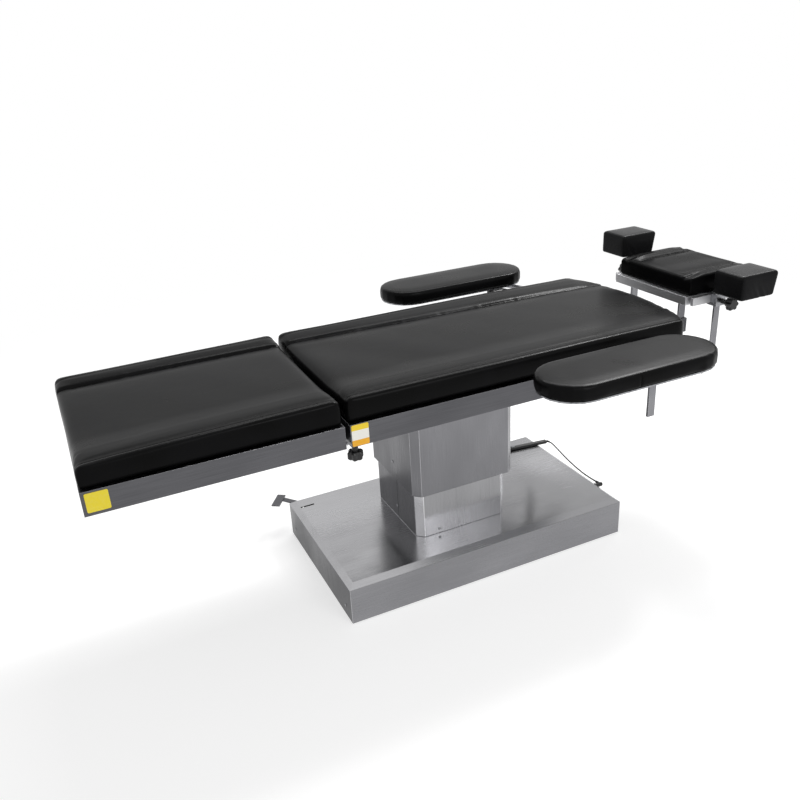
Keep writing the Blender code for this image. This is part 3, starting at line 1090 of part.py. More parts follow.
def armrests():
    """Clamps on the seat frame, sliding posts with brackets, boards, pads and lock levers."""
    face = FRAME_HALF + TOUCH
    outer = ARM_POST_Y + ARM_POST_THICKNESS / 2 + RUN + ARM_CLAMP_WALL
    half = ARM_CLAMP_LENGTH / 2
    body = block((ARM_POST_X - half, ARM_POST_X + half), (face, outer),
                 (ARM_CLAMP_BOTTOM, ARM_CLAMP_BOTTOM + ARM_CLAMP_HEIGHT))
    slot = block((ARM_POST_X - ARM_POST_WIDTH / 2 - RUN, ARM_POST_X + ARM_POST_WIDTH / 2 + RUN),
                 (ARM_POST_Y - ARM_POST_THICKNESS / 2 - RUN, ARM_POST_Y + ARM_POST_THICKNESS / 2 + RUN),
                 (ARM_CLAMP_BOTTOM - 0.010, ARM_CLAMP_BOTTOM + ARM_CLAMP_HEIGHT + 0.010))
    clamp = cut(body, slot)

    bar = block((ARM_POST_X - ARM_POST_WIDTH / 2, ARM_POST_X + ARM_POST_WIDTH / 2),
                (ARM_POST_Y - ARM_POST_THICKNESS / 2, ARM_POST_Y + ARM_POST_THICKNESS / 2),
                (ARM_POST_BOTTOM, BRACKET_TOP - 0.001))
    start = Vector((ARM_POST_X, ARM_POST_Y - ARM_POST_THICKNESS / 2))
    end = Vector((SWIVEL_X, SWIVEL_Y))
    across = Vector((0.5 * ARM_POST_WIDTH, 0.0))
    arm = [start - across, start + across, end + across * 1.1, end - across * 1.1]
    bracket = prism([(p.x, p.y) for p in arm], "Z", BRACKET_BOTTOM, BRACKET_TOP)
    boss = rod("Z", (SWIVEL_X, SWIVEL_Y), BOSS_RADIUS, BRACKET_TOP - BOSS_HEIGHT,
               BRACKET_TOP - 0.0005, 28)
    swivel_bore = rod("Z", (SWIVEL_X, SWIVEL_Y), SWIVEL_RADIUS + RUN,
                      BRACKET_TOP - BOSS_HEIGHT - 0.010, BRACKET_TOP + 0.010, 24)
    post = cut(weld(bar, bracket, boss), swivel_bore)

    lever_top = BRACKET_TOP - BOSS_HEIGHT - TOUCH
    lever_bottom = lever_top - LEVER_HUB_HEIGHT
    pin_bottom = lever_bottom - TOUCH
    sheet = prism(stadium(BOARD_INSET), "Z", BOARD_BOTTOM, BOARD_TOP)
    pin = turned("Z", (SWIVEL_X, SWIVEL_Y), [
        (SWIVEL_RADIUS, BOARD_BOTTOM + 0.002), (SWIVEL_RADIUS, pin_bottom),
        (WASHER_RADIUS, pin_bottom - 0.0001), (WASHER_RADIUS, pin_bottom - WASHER_HEIGHT)], 24)
    board = weld(sheet, pin)

    middle = (lever_top + lever_bottom) / 2 + LEVER_THICKNESS / 2
    tip = SWIVEL_X + LEVER_LENGTH
    bend = SWIVEL_X + LEVER_STRAIGHT
    outline = [(SWIVEL_X + LEVER_HUB_RADIUS * 0.9, middle), (bend, middle), (tip, middle - LEVER_DROP),
               (tip, middle - LEVER_DROP - LEVER_THICKNESS), (bend, middle - LEVER_THICKNESS),
               (SWIVEL_X + LEVER_HUB_RADIUS * 0.9, middle - LEVER_THICKNESS)]
    handle = prism(outline, "Y", SWIVEL_Y - LEVER_WIDTH / 2, SWIVEL_Y + LEVER_WIDTH / 2)
    hub = rod("Z", (SWIVEL_X, SWIVEL_Y), LEVER_HUB_RADIUS, lever_bottom, lever_top, 24)
    hub_bore = rod("Z", (SWIVEL_X, SWIVEL_Y), SWIVEL_RADIUS + RUN,
                   lever_bottom - 0.010, lever_top + 0.010, 24)
    lever = cut(weld(hub, handle), hub_bore)

    pad = loft(cushion_loops(stadium, PAD_BOTTOM, PAD_TOP, PAD_ROUND))
    for name, side in sides():
        pivot = (SWIVEL_X, side * SWIVEL_Y, BOARD_BOTTOM)
        place(f"arm_clamp_{name}", mirrored(clamp, side), "dark_steel",
              (ARM_POST_X, side * ARM_POST_Y, ARM_CLAMP_BOTTOM))
        place(f"arm_post_{name}", mirrored(post, side), "brushed_steel",
              (ARM_POST_X, side * ARM_POST_Y, BRACKET_TOP))
        place(f"arm_board_{name}", mirrored(board, side), "zinc", pivot)
        place(f"arm_pad_{name}", mirrored(pad, side), "leatherette", pivot)
        place(f"arm_lever_{name}", mirrored(lever, side), "black_plastic", pivot)


def hand_control():
    """Slim hand control lying on the base box, with its row of keys."""
    base = BASE_TOP + TOUCH
    top = base + CONTROL_HEIGHT
    half = CONTROL_WIDTH / 2
    r = CONTROL_ROUND
    section = [(-half + r, base), (half - r, base), (half, base + r), (half, top - r),
               (half - r, top), (-half + r, top), (-half, top - r), (-half, base + r)]
    body = prism(section, "X", -CONTROL_LENGTH, 0.0)
    pockets = []
    keys = []
    for i in range(4):
        x0 = -CONTROL_LENGTH + KEY_START + i * KEY_PITCH
        across = KEY_WIDTH / 2
        floor = top - KEY_DEPTH
        pockets.append(block((x0 - RUN, x0 + KEY_LENGTH + RUN), (-across - RUN, across + RUN),
                             (floor, top + 0.005)))
        keys.append(block((x0, x0 + KEY_LENGTH), (-across, across),
                          (floor + KEY_TRAVEL + TOUCH, top + KEY_RISE)))
    turn = (Matrix.Translation((CONTROL_END_X, CONTROL_END_Y, 0.0))
            @ Matrix.Rotation(CONTROL_TURN, 4, "Z"))
    shell = cut(body, *pockets)
    shell.transform(turn)
    place("hand_control", shell, "black_plastic", (CONTROL_END_X, CONTROL_END_Y, base))
    for name, key in zip(("up", "down", "tilt_head", "tilt_foot"), keys):
        key.transform(turn)
        place(f"key_{name}", key, "grey_plastic", (CONTROL_END_X, CONTROL_END_Y, base))


# How the cord goes from the hand control down to the plug: share of the way across,
# share of the furthest bulge, and share of the height still to fall
CORD_SHAPE = ((0.055, 0.545, 0.900), (0.141, 1.000, 0.655), (0.261, 0.909, 0.393),
              (0.399, 0.636, 0.164), (0.536, 0.364, 0.016), (0.674, 0.091, -0.065),
              (0.794, 0.000, -0.065), (0.880, 0.000, -0.026))


def cord_points():
    """Route of the hand control's cord, from the control's end to the plug's boot."""
    middle = BASE_TOP + TOUCH + CONTROL_HEIGHT / 2
    ahead = Vector((math.cos(CONTROL_TURN), math.sin(CONTROL_TURN), 0.0))
    start = Vector((CONTROL_END_X, CONTROL_END_Y, middle)) + ahead * (TOUCH + 0.0001)
    end = Vector((BOOT_X, PLUG_Y + PLUG_RADIUS + BOOT_LENGTH + TOUCH, PLUG_Z))
    hanging = [Vector((BOOT_X + CORD_OUT * out,
                       CONTROL_END_Y + (PLUG_Y - CONTROL_END_Y) * across,
                       PLUG_Z + (middle - PLUG_Z) * up)) for across, out, up in CORD_SHAPE]
    return [start, start + ahead * 0.005, *hanging, end + Vector((0.0, 0.006, 0.0)), end]


def smooth_route(points, spacing):
    """Points of an even curve through the route's own points."""
    padded = [points[0] * 2 - points[1]] + points + [points[-1] * 2 - points[-2]]
    route = []
    for i in range(1, len(padded) - 2):
        p0, p1, p2, p3 = padded[i - 1:i + 3]
        count = max(1, round((p2 - p1).length / spacing))
        for k in range(count):
            t = k / count
            route.append(0.5 * (2 * p1 + (p2 - p0) * t + (2 * p0 - 5 * p1 + 4 * p2 - p3) * t ** 2
                                + (3 * p1 - p0 - 3 * p2 + p3) * t ** 3))
    route.append(points[-1])
    return route


def control_cord():
    """The cord as a round tube, and its plug with the angled boot."""
    curve = bpy.data.curves.new("control_cord", "CURVE")
    curve.dimensions = "3D"
    curve.bevel_depth = CORD_RADIUS
    curve.bevel_resolution = 2
    curve.use_fill_caps = True
    route = smooth_route(cord_points(), 0.008)
    spline = curve.splines.new("POLY")
    spline.points.add(len(route) - 1)
    for point, place_at in zip(spline.points, route):
        point.co = (*place_at, 1.0)
    curve.materials.append(material("control_cord", "black_plastic"))
    cord = bpy.data.objects.new("control_cord", curve)
    cord.parent = datum
    bpy.context.scene.collection.objects.link(cord)

    barrel = turned("X", (PLUG_Y, PLUG_Z), [
        (PLUG_RADIUS - 0.001, BASE_HALF - PLUG_IN), (PLUG_RADIUS, BASE_HALF - PLUG_IN + 0.001),
        (PLUG_RADIUS, BASE_HALF + TOUCH), (PLUG_RADIUS + 0.002, BASE_HALF + TOUCH + 0.0001),
        (PLUG_RADIUS + 0.002, BASE_HALF + 0.010), (PLUG_RADIUS, BASE_HALF + 0.011),
        (PLUG_RADIUS, BASE_HALF + PLUG_LENGTH - 0.001), (PLUG_RADIUS - 0.001, BASE_HALF + PLUG_LENGTH)],
        20)
    boot = turned("Y", (BOOT_X, PLUG_Z), [
        (BOOT_RADIUS + 0.001, PLUG_Y), (BOOT_RADIUS, PLUG_Y + PLUG_RADIUS + BOOT_LENGTH)], 16)
    place("cord_plug", weld(barrel, boot), "black_plastic")


base_box()
chassis()
feet()
castors()
pedal()
column()
tilting_head()
seat_section()
leg_section()
knee_knobs()
cushions()
head_section()
head_cushion()
wrist_rests()
armrests()
hand_control()
control_cord()
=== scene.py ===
# %% [markdown]
# # Eye-surgery operating table: looks
# The CAD model already gives every rigid piece its shape and its joints. This lesson dresses it:
# it sets up the camera and the light, gives each surface the finish of the real material, and
# makes the soft pieces again as stuffed leatherette instead of plain solids.

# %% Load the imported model
import math

import bmesh
import bpy
import numpy as np
from mathutils import Matrix, Vector


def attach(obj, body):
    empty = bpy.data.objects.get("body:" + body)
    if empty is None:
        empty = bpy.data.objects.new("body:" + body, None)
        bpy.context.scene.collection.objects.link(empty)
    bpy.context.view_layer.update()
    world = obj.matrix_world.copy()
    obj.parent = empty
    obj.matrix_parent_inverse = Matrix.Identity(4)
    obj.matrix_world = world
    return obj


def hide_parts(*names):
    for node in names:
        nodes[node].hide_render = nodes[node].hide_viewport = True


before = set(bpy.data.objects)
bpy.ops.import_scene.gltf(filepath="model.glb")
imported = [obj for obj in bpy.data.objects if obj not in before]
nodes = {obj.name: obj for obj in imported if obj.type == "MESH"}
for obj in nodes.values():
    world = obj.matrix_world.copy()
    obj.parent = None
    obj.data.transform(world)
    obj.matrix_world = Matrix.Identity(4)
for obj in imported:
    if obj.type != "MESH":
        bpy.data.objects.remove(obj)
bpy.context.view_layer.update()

# %% [markdown]
# ## Camera
# The photograph was taken with a normal lens, from the foot end and from above the cushions.
# The camera's place and direction were worked out from the straight edges of the base box. A
# yaw, a pitch and a small roll say it plainly, so the matrix is built from those three turns.

# %% Camera
PHOTO_WIDTH = 800
LENS_IN_PIXELS = 811.65
CAMERA_PLACE = Vector((-1.0021, -1.9437, 1.4564))
CAMERA_YAW = 0.4186
CAMERA_PITCH = -0.4209
CAMERA_ROLL = -0.0587


def camera_turn(yaw, pitch, roll):
    """The camera's axes for a heading, a tilt up and a roll."""
    ahead = Vector((math.sin(yaw) * math.cos(pitch), math.cos(yaw) * math.cos(pitch),
                    math.sin(pitch)))
    level = Vector((math.cos(yaw), -math.sin(yaw), 0.0))
    above = level.cross(ahead)
    right = level * math.cos(roll) + above * math.sin(roll)
    up = above * math.cos(roll) - level * math.sin(roll)
    return Matrix((right, up, -ahead)).transposed().to_4x4()


lens = bpy.data.cameras.new("photo_lens")
lens.sensor_width = 36.0
lens.lens = LENS_IN_PIXELS / PHOTO_WIDTH * lens.sensor_width
lens.clip_start = 0.05
camera = bpy.data.objects.new("photo_camera", lens)
camera.matrix_world = (Matrix.Translation(CAMERA_PLACE)
                       @ camera_turn(CAMERA_YAW, CAMERA_PITCH, CAMERA_ROLL))
bpy.context.scene.collection.objects.link(camera)
bpy.context.scene.camera = camera
print("lens", round(lens.lens, 2), "mm")

# %% [markdown]
# ## The hand control's cord
# The cord is a limp round lead, 4.4 mm thick. It leaves the end of the hand control, hangs
# down in front of the base box's end and turns back into its plug. A curve with a round bevel
# keeps its thickness the same all along, and an even spacing of points keeps it smooth. The
# curve is then turned into a mesh, so that its size can be measured like any other piece's.

# %% Cord route
CONTROL_TURN = math.radians(-7)
CORD_DIAMETER = 0.0044


def smooth_route(points, spacing):
    """Points of an even curve through the route's own points."""
    padded = [points[0] * 2 - points[1]] + points + [points[-1] * 2 - points[-2]]
    route = []
    for i in range(1, len(padded) - 2):
        p0, p1, p2, p3 = padded[i - 1:i + 3]
        count = max(1, round((p2 - p1).length / spacing))
        for k in range(count):
            t = k / count
            route.append(0.5 * (2 * p1 + (p2 - p0) * t + (2 * p0 - 5 * p1 + 4 * p2 - p3) * t ** 2
                                + (3 * p1 - p0 - 3 * p2 + p3) * t ** 3))
    route.append(points[-1])
    return route


def cord_points():
    """Where the cord goes, from the end of the hand control to the plug's boot."""
    end_face = Vector((0.4870, 0.1660, 0.13055))
    ahead = Vector((math.cos(CONTROL_TURN), math.sin(CONTROL_TURN), 0.0))
    start = end_face + ahead * 0.0004
    end = Vector((0.4970, -0.1052, 0.1000))
    return [start, start + ahead * 0.005,
            Vector((0.5000, 0.1500, 0.1275)), Vector((0.5025, 0.1250, 0.1200)),
            Vector((0.5020, 0.0900, 0.1120)), Vector((0.5005, 0.0500, 0.1050)),
            Vector((0.4990, 0.0100, 0.1005)), Vector((0.4975, -0.0300, 0.0980)),
            Vector((0.4970, -0.0650, 0.0980)), Vector((0.4970, -0.0900, 0.0992)),
            end + Vector((0.0, 0.006, 0.0)), end]


def tube(name, route, radius):
    """A round tube along a route, with closed ends, as a mesh."""
    line = bpy.data.curves.new(name + "_line", "CURVE")
    line.dimensions = "3D"
    line.bevel_depth = radius
    line.bevel_resolution = 3
    line.use_fill_caps = True
    spline = line.splines.new("POLY")
    spline.points.add(len(route) - 1)
    for point, place in zip(spline.points, route):
        point.co = (*place, 1.0)
    guide = bpy.data.objects.new(name + "_line", line)
    mesh = bpy.data.meshes.new_from_object(guide)
    mesh.name = name
    bpy.data.objects.remove(guide)
    bpy.data.curves.remove(line)
    mesh.polygons.foreach_set("use_smooth", [True] * len(mesh.polygons))
    piece = bpy.data.objects.new(name, mesh)
    bpy.context.scene.collection.objects.link(piece)
    return piece


cord_route = smooth_route(cord_points(), 0.006)
cord = tube("control_lead", cord_route, CORD_DIAMETER / 2)
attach(cord, "base")
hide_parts("control_cord")

# %% [markdown]
# ## Light and floor
# A white studio: a long soft lamp high above the far side, which draws one even line of light
# along the seams and edges, a small brighter lamp beyond the head end, a weaker lamp on the near
# side, and an even surround. The floor is matte and pale, so it keeps a soft shadow under the
# table. What the camera sees directly, or in metal, is the white backdrop; the light that the
# surround gives is weaker, so that black covers stay black on their sides. The floor inside the
# base box is plain, so that the slot in the box's top stays dark.

# %% Colour and node helpers
PER_METRE = 1000.0


def colour(code):
    """An sRGB hex colour as linear red, green, blue and alpha."""
    values = [int(code[i:i + 2], 16) / 255 for i in (1, 3, 5)]
    linear = [v / 12.92 if v <= 0.04045 else ((v + 0.055) / 1.055) ** 2.4 for v in values]
    return (*linear, 1.0)


def node(tree, kind, inputs=None, **settings):
    """Add a node, set its own settings, and fill or link its inputs."""
    made = tree.nodes.new(kind)
    for name, value in settings.items():
        setattr(made, name, value)
    for socket, value in (inputs or {}).items():
        if isinstance(value, bpy.types.NodeSocket):
            tree.links.new(value, made.inputs[socket])
        else:
            made.inputs[socket].default_value = value
    return made


def seen_directly(tree):
    """1 for rays from the camera or by way of metal or glass, 0 for gathered light."""
    path = node(tree, "ShaderNodeLightPath")
    direct = node(tree, "ShaderNodeMath", {0: path.outputs["Is Camera Ray"],
                                           1: path.outputs["Is Glossy Ray"]}, operation="MAXIMUM")
    return node(tree, "ShaderNodeMath", {0: direct.outputs[0],
                                         1: path.outputs["Is Transmission Ray"]},
                operation="MAXIMUM").outputs[0]


# %% Surround
SURROUND_FILL = 0.35

bpy.context.scene.view_settings.view_transform = "Standard"
world = bpy.data.worlds.new("white_surround")
world.use_nodes = True
tree = world.node_tree
tree.nodes.clear()
gathered = node(tree, "ShaderNodeBackground", {"Color": colour("#ffffff"),
                                               "Strength": SURROUND_FILL})
shown = node(tree, "ShaderNodeBackground", {"Color": colour("#ffffff"), "Strength": 1.0})
both = node(tree, "ShaderNodeMixShader", {0: seen_directly(tree), 1: gathered.outputs[0],
                                          2: shown.outputs[0]})
node(tree, "ShaderNodeOutputWorld", {"Surface": both.outputs[0]})
bpy.context.scene.world = world
print("surround fill", SURROUND_FILL)

# %% Floor
FLOOR_REACH = 12.0
SHADOW_REACH = 1.5
BASE_MIDDLE, BASE_INSIDE_X, BASE_INSIDE_Y = 0.019, 0.440, 0.247

floor_mesh = bpy.data.meshes.new("studio_floor")
floor_mesh.from_pydata([(-FLOOR_REACH, -FLOOR_REACH, 0), (FLOOR_REACH, -FLOOR_REACH, 0),
                        (FLOOR_REACH, FLOOR_REACH, 0), (-FLOOR_REACH, FLOOR_REACH, 0)],
                       [], [(0, 1, 2, 3)])
floor = bpy.data.objects.new("studio_floor", floor_mesh)
bpy.context.scene.collection.objects.link(floor)

pale_floor = bpy.data.materials.new("pale_matte_floor")
pale_floor.use_nodes = True
tree = pale_floor.node_tree
tree.nodes.clear()
matte = node(tree, "ShaderNodeBsdfDiffuse", {"Color": colour("#d8d8d8")})
lit = node(tree, "ShaderNodeBsdfDiffuse", {"Color": colour("#c0c0c0")})
glow = node(tree, "ShaderNodeEmission", {"Color": colour("#ffffff"), "Strength": 0.66})
under_table = node(tree, "ShaderNodeAddShader", {0: lit.outputs[0], 1: glow.outputs[0]})
white = node(tree, "ShaderNodeEmission", {"Color": colour("#ffffff"), "Strength": 1.0})
where = node(tree, "ShaderNodeNewGeometry").outputs["Position"]
out = node(tree, "ShaderNodeVectorMath", {0: where}, operation="LENGTH").outputs["Value"]
away = node(tree, "ShaderNodeMapRange", {"Value": out, "From Min": SHADOW_REACH,
                                         "From Max": 2.2 * SHADOW_REACH}).outputs[0]
shown = node(tree, "ShaderNodeMixShader", {0: away, 1: under_table.outputs[0],
                                           2: white.outputs[0]})
across = node(tree, "ShaderNodeSeparateXYZ", {0: where})
inside = node(tree, "ShaderNodeMath", {
    0: node(tree, "ShaderNodeMath", {0: across.outputs["X"], 1: BASE_MIDDLE, 2: BASE_INSIDE_X},
            operation="COMPARE").outputs[0],
    1: node(tree, "ShaderNodeMath", {0: across.outputs["Y"], 1: 0.0, 2: BASE_INSIDE_Y},
            operation="COMPARE").outputs[0]}, operation="MULTIPLY").outputs[0]
plain = node(tree, "ShaderNodeMath", {0: 1.0, 1: inside}, operation="SUBTRACT").outputs[0]
lit_up = node(tree, "ShaderNodeMath", {0: seen_directly(tree), 1: plain},
              operation="MULTIPLY").outputs[0]
both = node(tree, "ShaderNodeMixShader", {0: lit_up, 1: matte.outputs[0], 2: shown.outputs[0]})
node(tree, "ShaderNodeOutputMaterial", {"Surface": both.outputs[0]})
floor_mesh.materials.append(pale_floor)


# %% Lamps
def soft_lamp(name, place, aim, long_side, short_side, power):
    """A soft lamp at a place, turned to a point, with its long side along X."""
    light = bpy.data.lights.new(name, "AREA")
    light.shape = "RECTANGLE"
    light.size = long_side
    light.size_y = short_side
    light.energy = power
    lamp = bpy.data.objects.new(name, light)
    lamp.location = place
    lamp.rotation_euler = (Vector(aim) - Vector(place)).to_track_quat("-Z", "Y").to_euler()
    bpy.context.scene.collection.objects.link(lamp)
    return lamp


soft_lamp("overhead_strip", (2.0, 1.5, 3.0), (2.0, 0.0, 0.4), 5.0, 0.8, 92)
soft_lamp("head_end_lamp", (2.7, 1.6, 3.7), (0.7, 0.0, 0.7), 0.6, 0.6, 75)
soft_lamp("near_side_lamp", (0.6, -3.2, 2.2), (0.6, 0.0, 0.4), 1.8, 1.4, 36)
print("lamps", [light.name for light in bpy.data.lights])

# %% [markdown]
# ## Finishes
# Each finish is named for the real material. A scale in it comes from a real size: brush marks
# on stainless sheet are a few tenths of a millimetre apart, and leatherette has pebbles of about
# one millimetre. Both are drawn a little coarser, so that they still show from two metres away.

# %% Helpers for finishes
BRUSH_MARK_MM = 1.2
PEBBLE_MM = 1.6


def new_finish(name):
    """A material with a Principled shader, and the object's own coordinates in metres."""
    finish = bpy.data.materials.new(name)
    finish.use_nodes = True
    tree = finish.node_tree
    shader = tree.nodes["Principled BSDF"]
    where = node(tree, "ShaderNodeTexCoord").outputs["Object"]
    return finish, tree, shader, where


def drawn_out_noise(tree, where, across_mm, along_mm, direction, detail=3.0):
    """Noise drawn out along one axis of the object."""
    scale = [PER_METRE / (along_mm if axis == direction else across_mm) for axis in "XYZ"]
    spread = node(tree, "ShaderNodeMapping", {"Vector": where, "Scale": scale})
    return node(tree, "ShaderNodeTexNoise", {"Vector": spread.outputs[0], "Scale": 1.0,
                                             "Detail": detail, "Roughness": 0.6}).outputs["Fac"]


def shade_between(tree, value, low, high, low_colour, high_colour):
    """A colour between two, as a value goes from low to high."""
    share = node(tree, "ShaderNodeMapRange", {"Value": value, "From Min": low, "From Max": high})
    return node(tree, "ShaderNodeMix", {0: share.outputs[0], 6: low_colour, 7: high_colour},
                data_type="RGBA").outputs[2]


def between(tree, value, low, high, to_low, to_high):
    """A number between two, as a value goes from low to high."""
    return node(tree, "ShaderNodeMapRange", {"Value": value, "From Min": low, "From Max": high,
                                             "To Min": to_low, "To Max": to_high}).outputs[0]


def worn_and_highlit_edges(tree):
    """1 along convex edges of a finely meshed piece, 0 on its flats and in hollows."""
    point = node(tree, "ShaderNodeNewGeometry").outputs["Pointiness"]
    return between(tree, point, 0.54, 0.70, 0.0, 1.0)


# %% [markdown]
# ### Brushed stainless sheet
# The covers, the base box and the frames are stainless sheet with a satin grain. The grain is
# noise drawn out along one axis. It varies the colour and the gloss a little, and a faint bump
# turns it into lines. Large soft clouds stand for the wiping marks that such covers always have.

# %% Brushed stainless
def brushed_stainless(name, dark, light, direction, roughness, clouds_mm=160.0, shaded_end=None):
    """Satin stainless sheet, with its grain along one axis. It may grow darker along X, a painted
    shade.
    """
    finish, tree, shader, where = new_finish(name)
    lines = drawn_out_noise(tree, where, BRUSH_MARK_MM, 110.0, direction)
    clouds = drawn_out_noise(tree, where, clouds_mm, clouds_mm * 2.0, direction, 2.0)
    mixed = node(tree, "ShaderNodeMath", {0: lines, 1: clouds}, operation="ADD").outputs[0]
    tone = shade_between(tree, mixed, 0.75, 1.25, colour(dark), colour(light))
    # Painted shade and reflection: the sheet darkens along X towards a darker colour.
    if shaded_end:
        along = node(tree, "ShaderNodeSeparateXYZ", {0: where}).outputs["X"]
        tone = node(tree, "ShaderNodeMix", {0: between(tree, along, -0.20, 0.30, 0.0, 1.0),
                                            6: tone, 7: colour(shaded_end)},
                    data_type="RGBA").outputs[2]
    tree.links.new(tone, shader.inputs["Base Color"])
    tree.links.new(between(tree, mixed, 0.75, 1.25, roughness + 0.08, roughness - 0.05),
                   shader.inputs["Roughness"])
    shader.inputs["Metallic"].default_value = 1.0
    shader.inputs["Anisotropic"].default_value = 0.5
    bump = node(tree, "ShaderNodeBump", {"Height": lines, "Strength": 0.06, "Distance": 0.0002})
    tree.links.new(bump.outputs[0], shader.inputs["Normal"])
    return finish


skirt_sheet = brushed_stainless("satin_stainless_base_skirt", "#8b8b8e", "#969699", "X", 0.26)
# The end sheets are darker copies of the same stainless: painted shade on the faces that look along X.
shaded_skirt_end = brushed_stainless("satin_stainless_skirt_ends_painted_shade", "#454548", "#505053", "Z", 0.28)
# The base top darkens from under the column towards the head end: a painted reflection of the dark
# table above it.
top_sheet = brushed_stainless("satin_stainless_base_top", "#a3a3a5", "#b2b2b4", "X", 0.21,
                              shaded_end="#98989a")
cover_sheet = brushed_stainless("satin_stainless_lower_cover", "#969698", "#a2a2a4", "Z", 0.22)
shaded_cover_end = brushed_stainless("satin_stainless_cover_ends_painted_shade", "#5c5c5f", "#68686b", "Z", 0.26)
sleeve_sheet = brushed_stainless("satin_stainless_column_sleeve", "#7a7a7d", "#848487", "Z", 0.30)
shaded_sleeve_end = brushed_stainless("satin_stainless_sleeve_ends_painted_shade", "#57575a", "#616164", "Z", 0.30)
frame_sheet = brushed_stainless("satin_stainless_frames", "#555558", "#606063", "X", 0.32)
head_sheet = brushed_stainless("satin_stainless_head_frame", "#b2b2b4", "#c6c6c8", "X", 0.44)
flat_bar = brushed_stainless("satin_stainless_flat_bar", "#76767a", "#8c8c8f", "Z", 0.28, 60.0)
# Nearly white fold finish: a painted highlight on the lower cover's folds and slanted corners.
highlight_fold = brushed_stainless("stainless_fold_painted_highlight", "#e2e2e4", "#f2f2f4", "Z", 0.14, 60.0)
# Lighter fold finish for bevels: partly wear from use, partly a painted highlight along the edges.
worn_and_highlit_fold = brushed_stainless("stainless_fold_wear_and_painted_highlight", "#a6a6a9", "#bababd", "X", 0.20, 60.0)
print("stainless finishes", 12)

# %% [markdown]
# ### Black leatherette
# The covers are PVC leatherette over foam: nearly black, with a fine pebble grain and a soft
# sheen that catches the light on every rounded edge. The specular level is low, because a
# printed matt lacquer takes most of the gloss away. Large faint clouds change the gloss, as
# wiping and handling do, and convex edges are a touch lighter: partly rubbing wear, partly a
# painted highlight.

# %% Leatherette
SEAM_HALF_MM = 0.8
GATHER_MM = 9.0
SLACK_MM = 55.0


def leatherette(name, dark, light, worn_and_highlit_tone, roughness, gloss_level):
    """PVC leatherette with a pebble grain, and a dark groove and gathers along its seams."""
    finish, tree, shader, where = new_finish(name)
    pebbles = node(tree, "ShaderNodeTexVoronoi", {"Vector": where, "Randomness": 0.9,
                                                  "Scale": PER_METRE / PEBBLE_MM},
                   feature="SMOOTH_F1")
    wiping = node(tree, "ShaderNodeTexNoise", {"Vector": where, "Scale": 7.0, "Detail": 4.0,
                                               "Distortion": 0.6}).outputs["Fac"]
    tone = shade_between(tree, wiping, 0.35, 0.65, colour(dark), colour(light))
    # Convex edges are mixed towards a lighter tone: partly rubbing wear, partly a painted highlight.
    edged = node(tree, "ShaderNodeMix", {0: worn_and_highlit_edges(tree), 6: tone,
                                         7: colour(worn_and_highlit_tone)}, data_type="RGBA").outputs[2]
    seam_side = node(tree, "ShaderNodeAttribute", attribute_name="seam_distance").outputs["Fac"]
    from_seam = node(tree, "ShaderNodeMath", {0: seam_side}, operation="ABSOLUTE").outputs[0]
    in_seam = between(tree, from_seam, SEAM_HALF_MM / PER_METRE, 2.5 * SEAM_HALF_MM / PER_METRE,
                      1.0, 0.0)
    sewn = node(tree, "ShaderNodeMix", {0: in_seam, 6: edged, 7: colour("#020202")},
                data_type="RGBA").outputs[2]
    tree.links.new(sewn, shader.inputs["Base Color"])
    gloss = between(tree, wiping, 0.3, 0.7, roughness, roughness + 0.08)
    dulled = node(tree, "ShaderNodeMath", {0: in_seam, 1: 0.35, 2: gloss},
                  operation="MULTIPLY_ADD").outputs[0]
    tree.links.new(dulled, shader.inputs["Roughness"])
    grain = node(tree, "ShaderNodeBump", {"Height": pebbles.outputs["Distance"], "Strength": 0.15,
                                          "Distance": 0.0003})
    gathers = node(tree, "ShaderNodeTexNoise", {"Vector": where, "Scale": PER_METRE / GATHER_MM,
                                                "Detail": 2.0}).outputs["Fac"]
    near_seam = between(tree, from_seam, 0.002, 0.016, 1.0, 0.0)
    gathered = node(tree, "ShaderNodeMath", {0: gathers, 1: near_seam}, operation="MULTIPLY")
    puckers = node(tree, "ShaderNodeBump", {"Height": gathered.outputs[0],
                                            "Normal": grain.outputs[0], "Strength": 0.16,
                                            "Distance": 0.002})
    groove = node(tree, "ShaderNodeBump", {"Height": in_seam, "Normal": puckers.outputs[0],
                                           "Strength": 0.8, "Distance": 0.001}, invert=True)
    slack = node(tree, "ShaderNodeTexNoise", {"Vector": where, "Scale": PER_METRE / SLACK_MM,
                                              "Detail": 2.0, "Distortion": 0.8}).outputs["Fac"]
    soft = node(tree, "ShaderNodeBump", {"Height": slack, "Normal": groove.outputs[0],
                                         "Strength": 0.03, "Distance": 0.006})
    tree.links.new(soft.outputs[0], shader.inputs["Normal"])
    shader.inputs["Specular IOR Level"].default_value = gloss_level
    return finish


black_cover = leatherette("black_pvc_leatherette", "#0b0b0b", "#101011", "#1a1a1b", 0.26, 0.052)
charcoal_cover = leatherette("charcoal_pvc_leatherette", "#161617", "#1e1e1f", "#343436", 0.23,
                             0.055)
matt_cover = leatherette("matt_pvc_leatherette", "#070707", "#0b0b0c", "#161617", 0.24, 0.020)

# %% [markdown]
# ### Plastics, rubber and plated steel
# The knobs and levers are glass-filled nylon, black with a fine spark-eroded grain. The small
# fittings are zinc-plated and have a soft mottle, and the chassis is coated in dark grey.


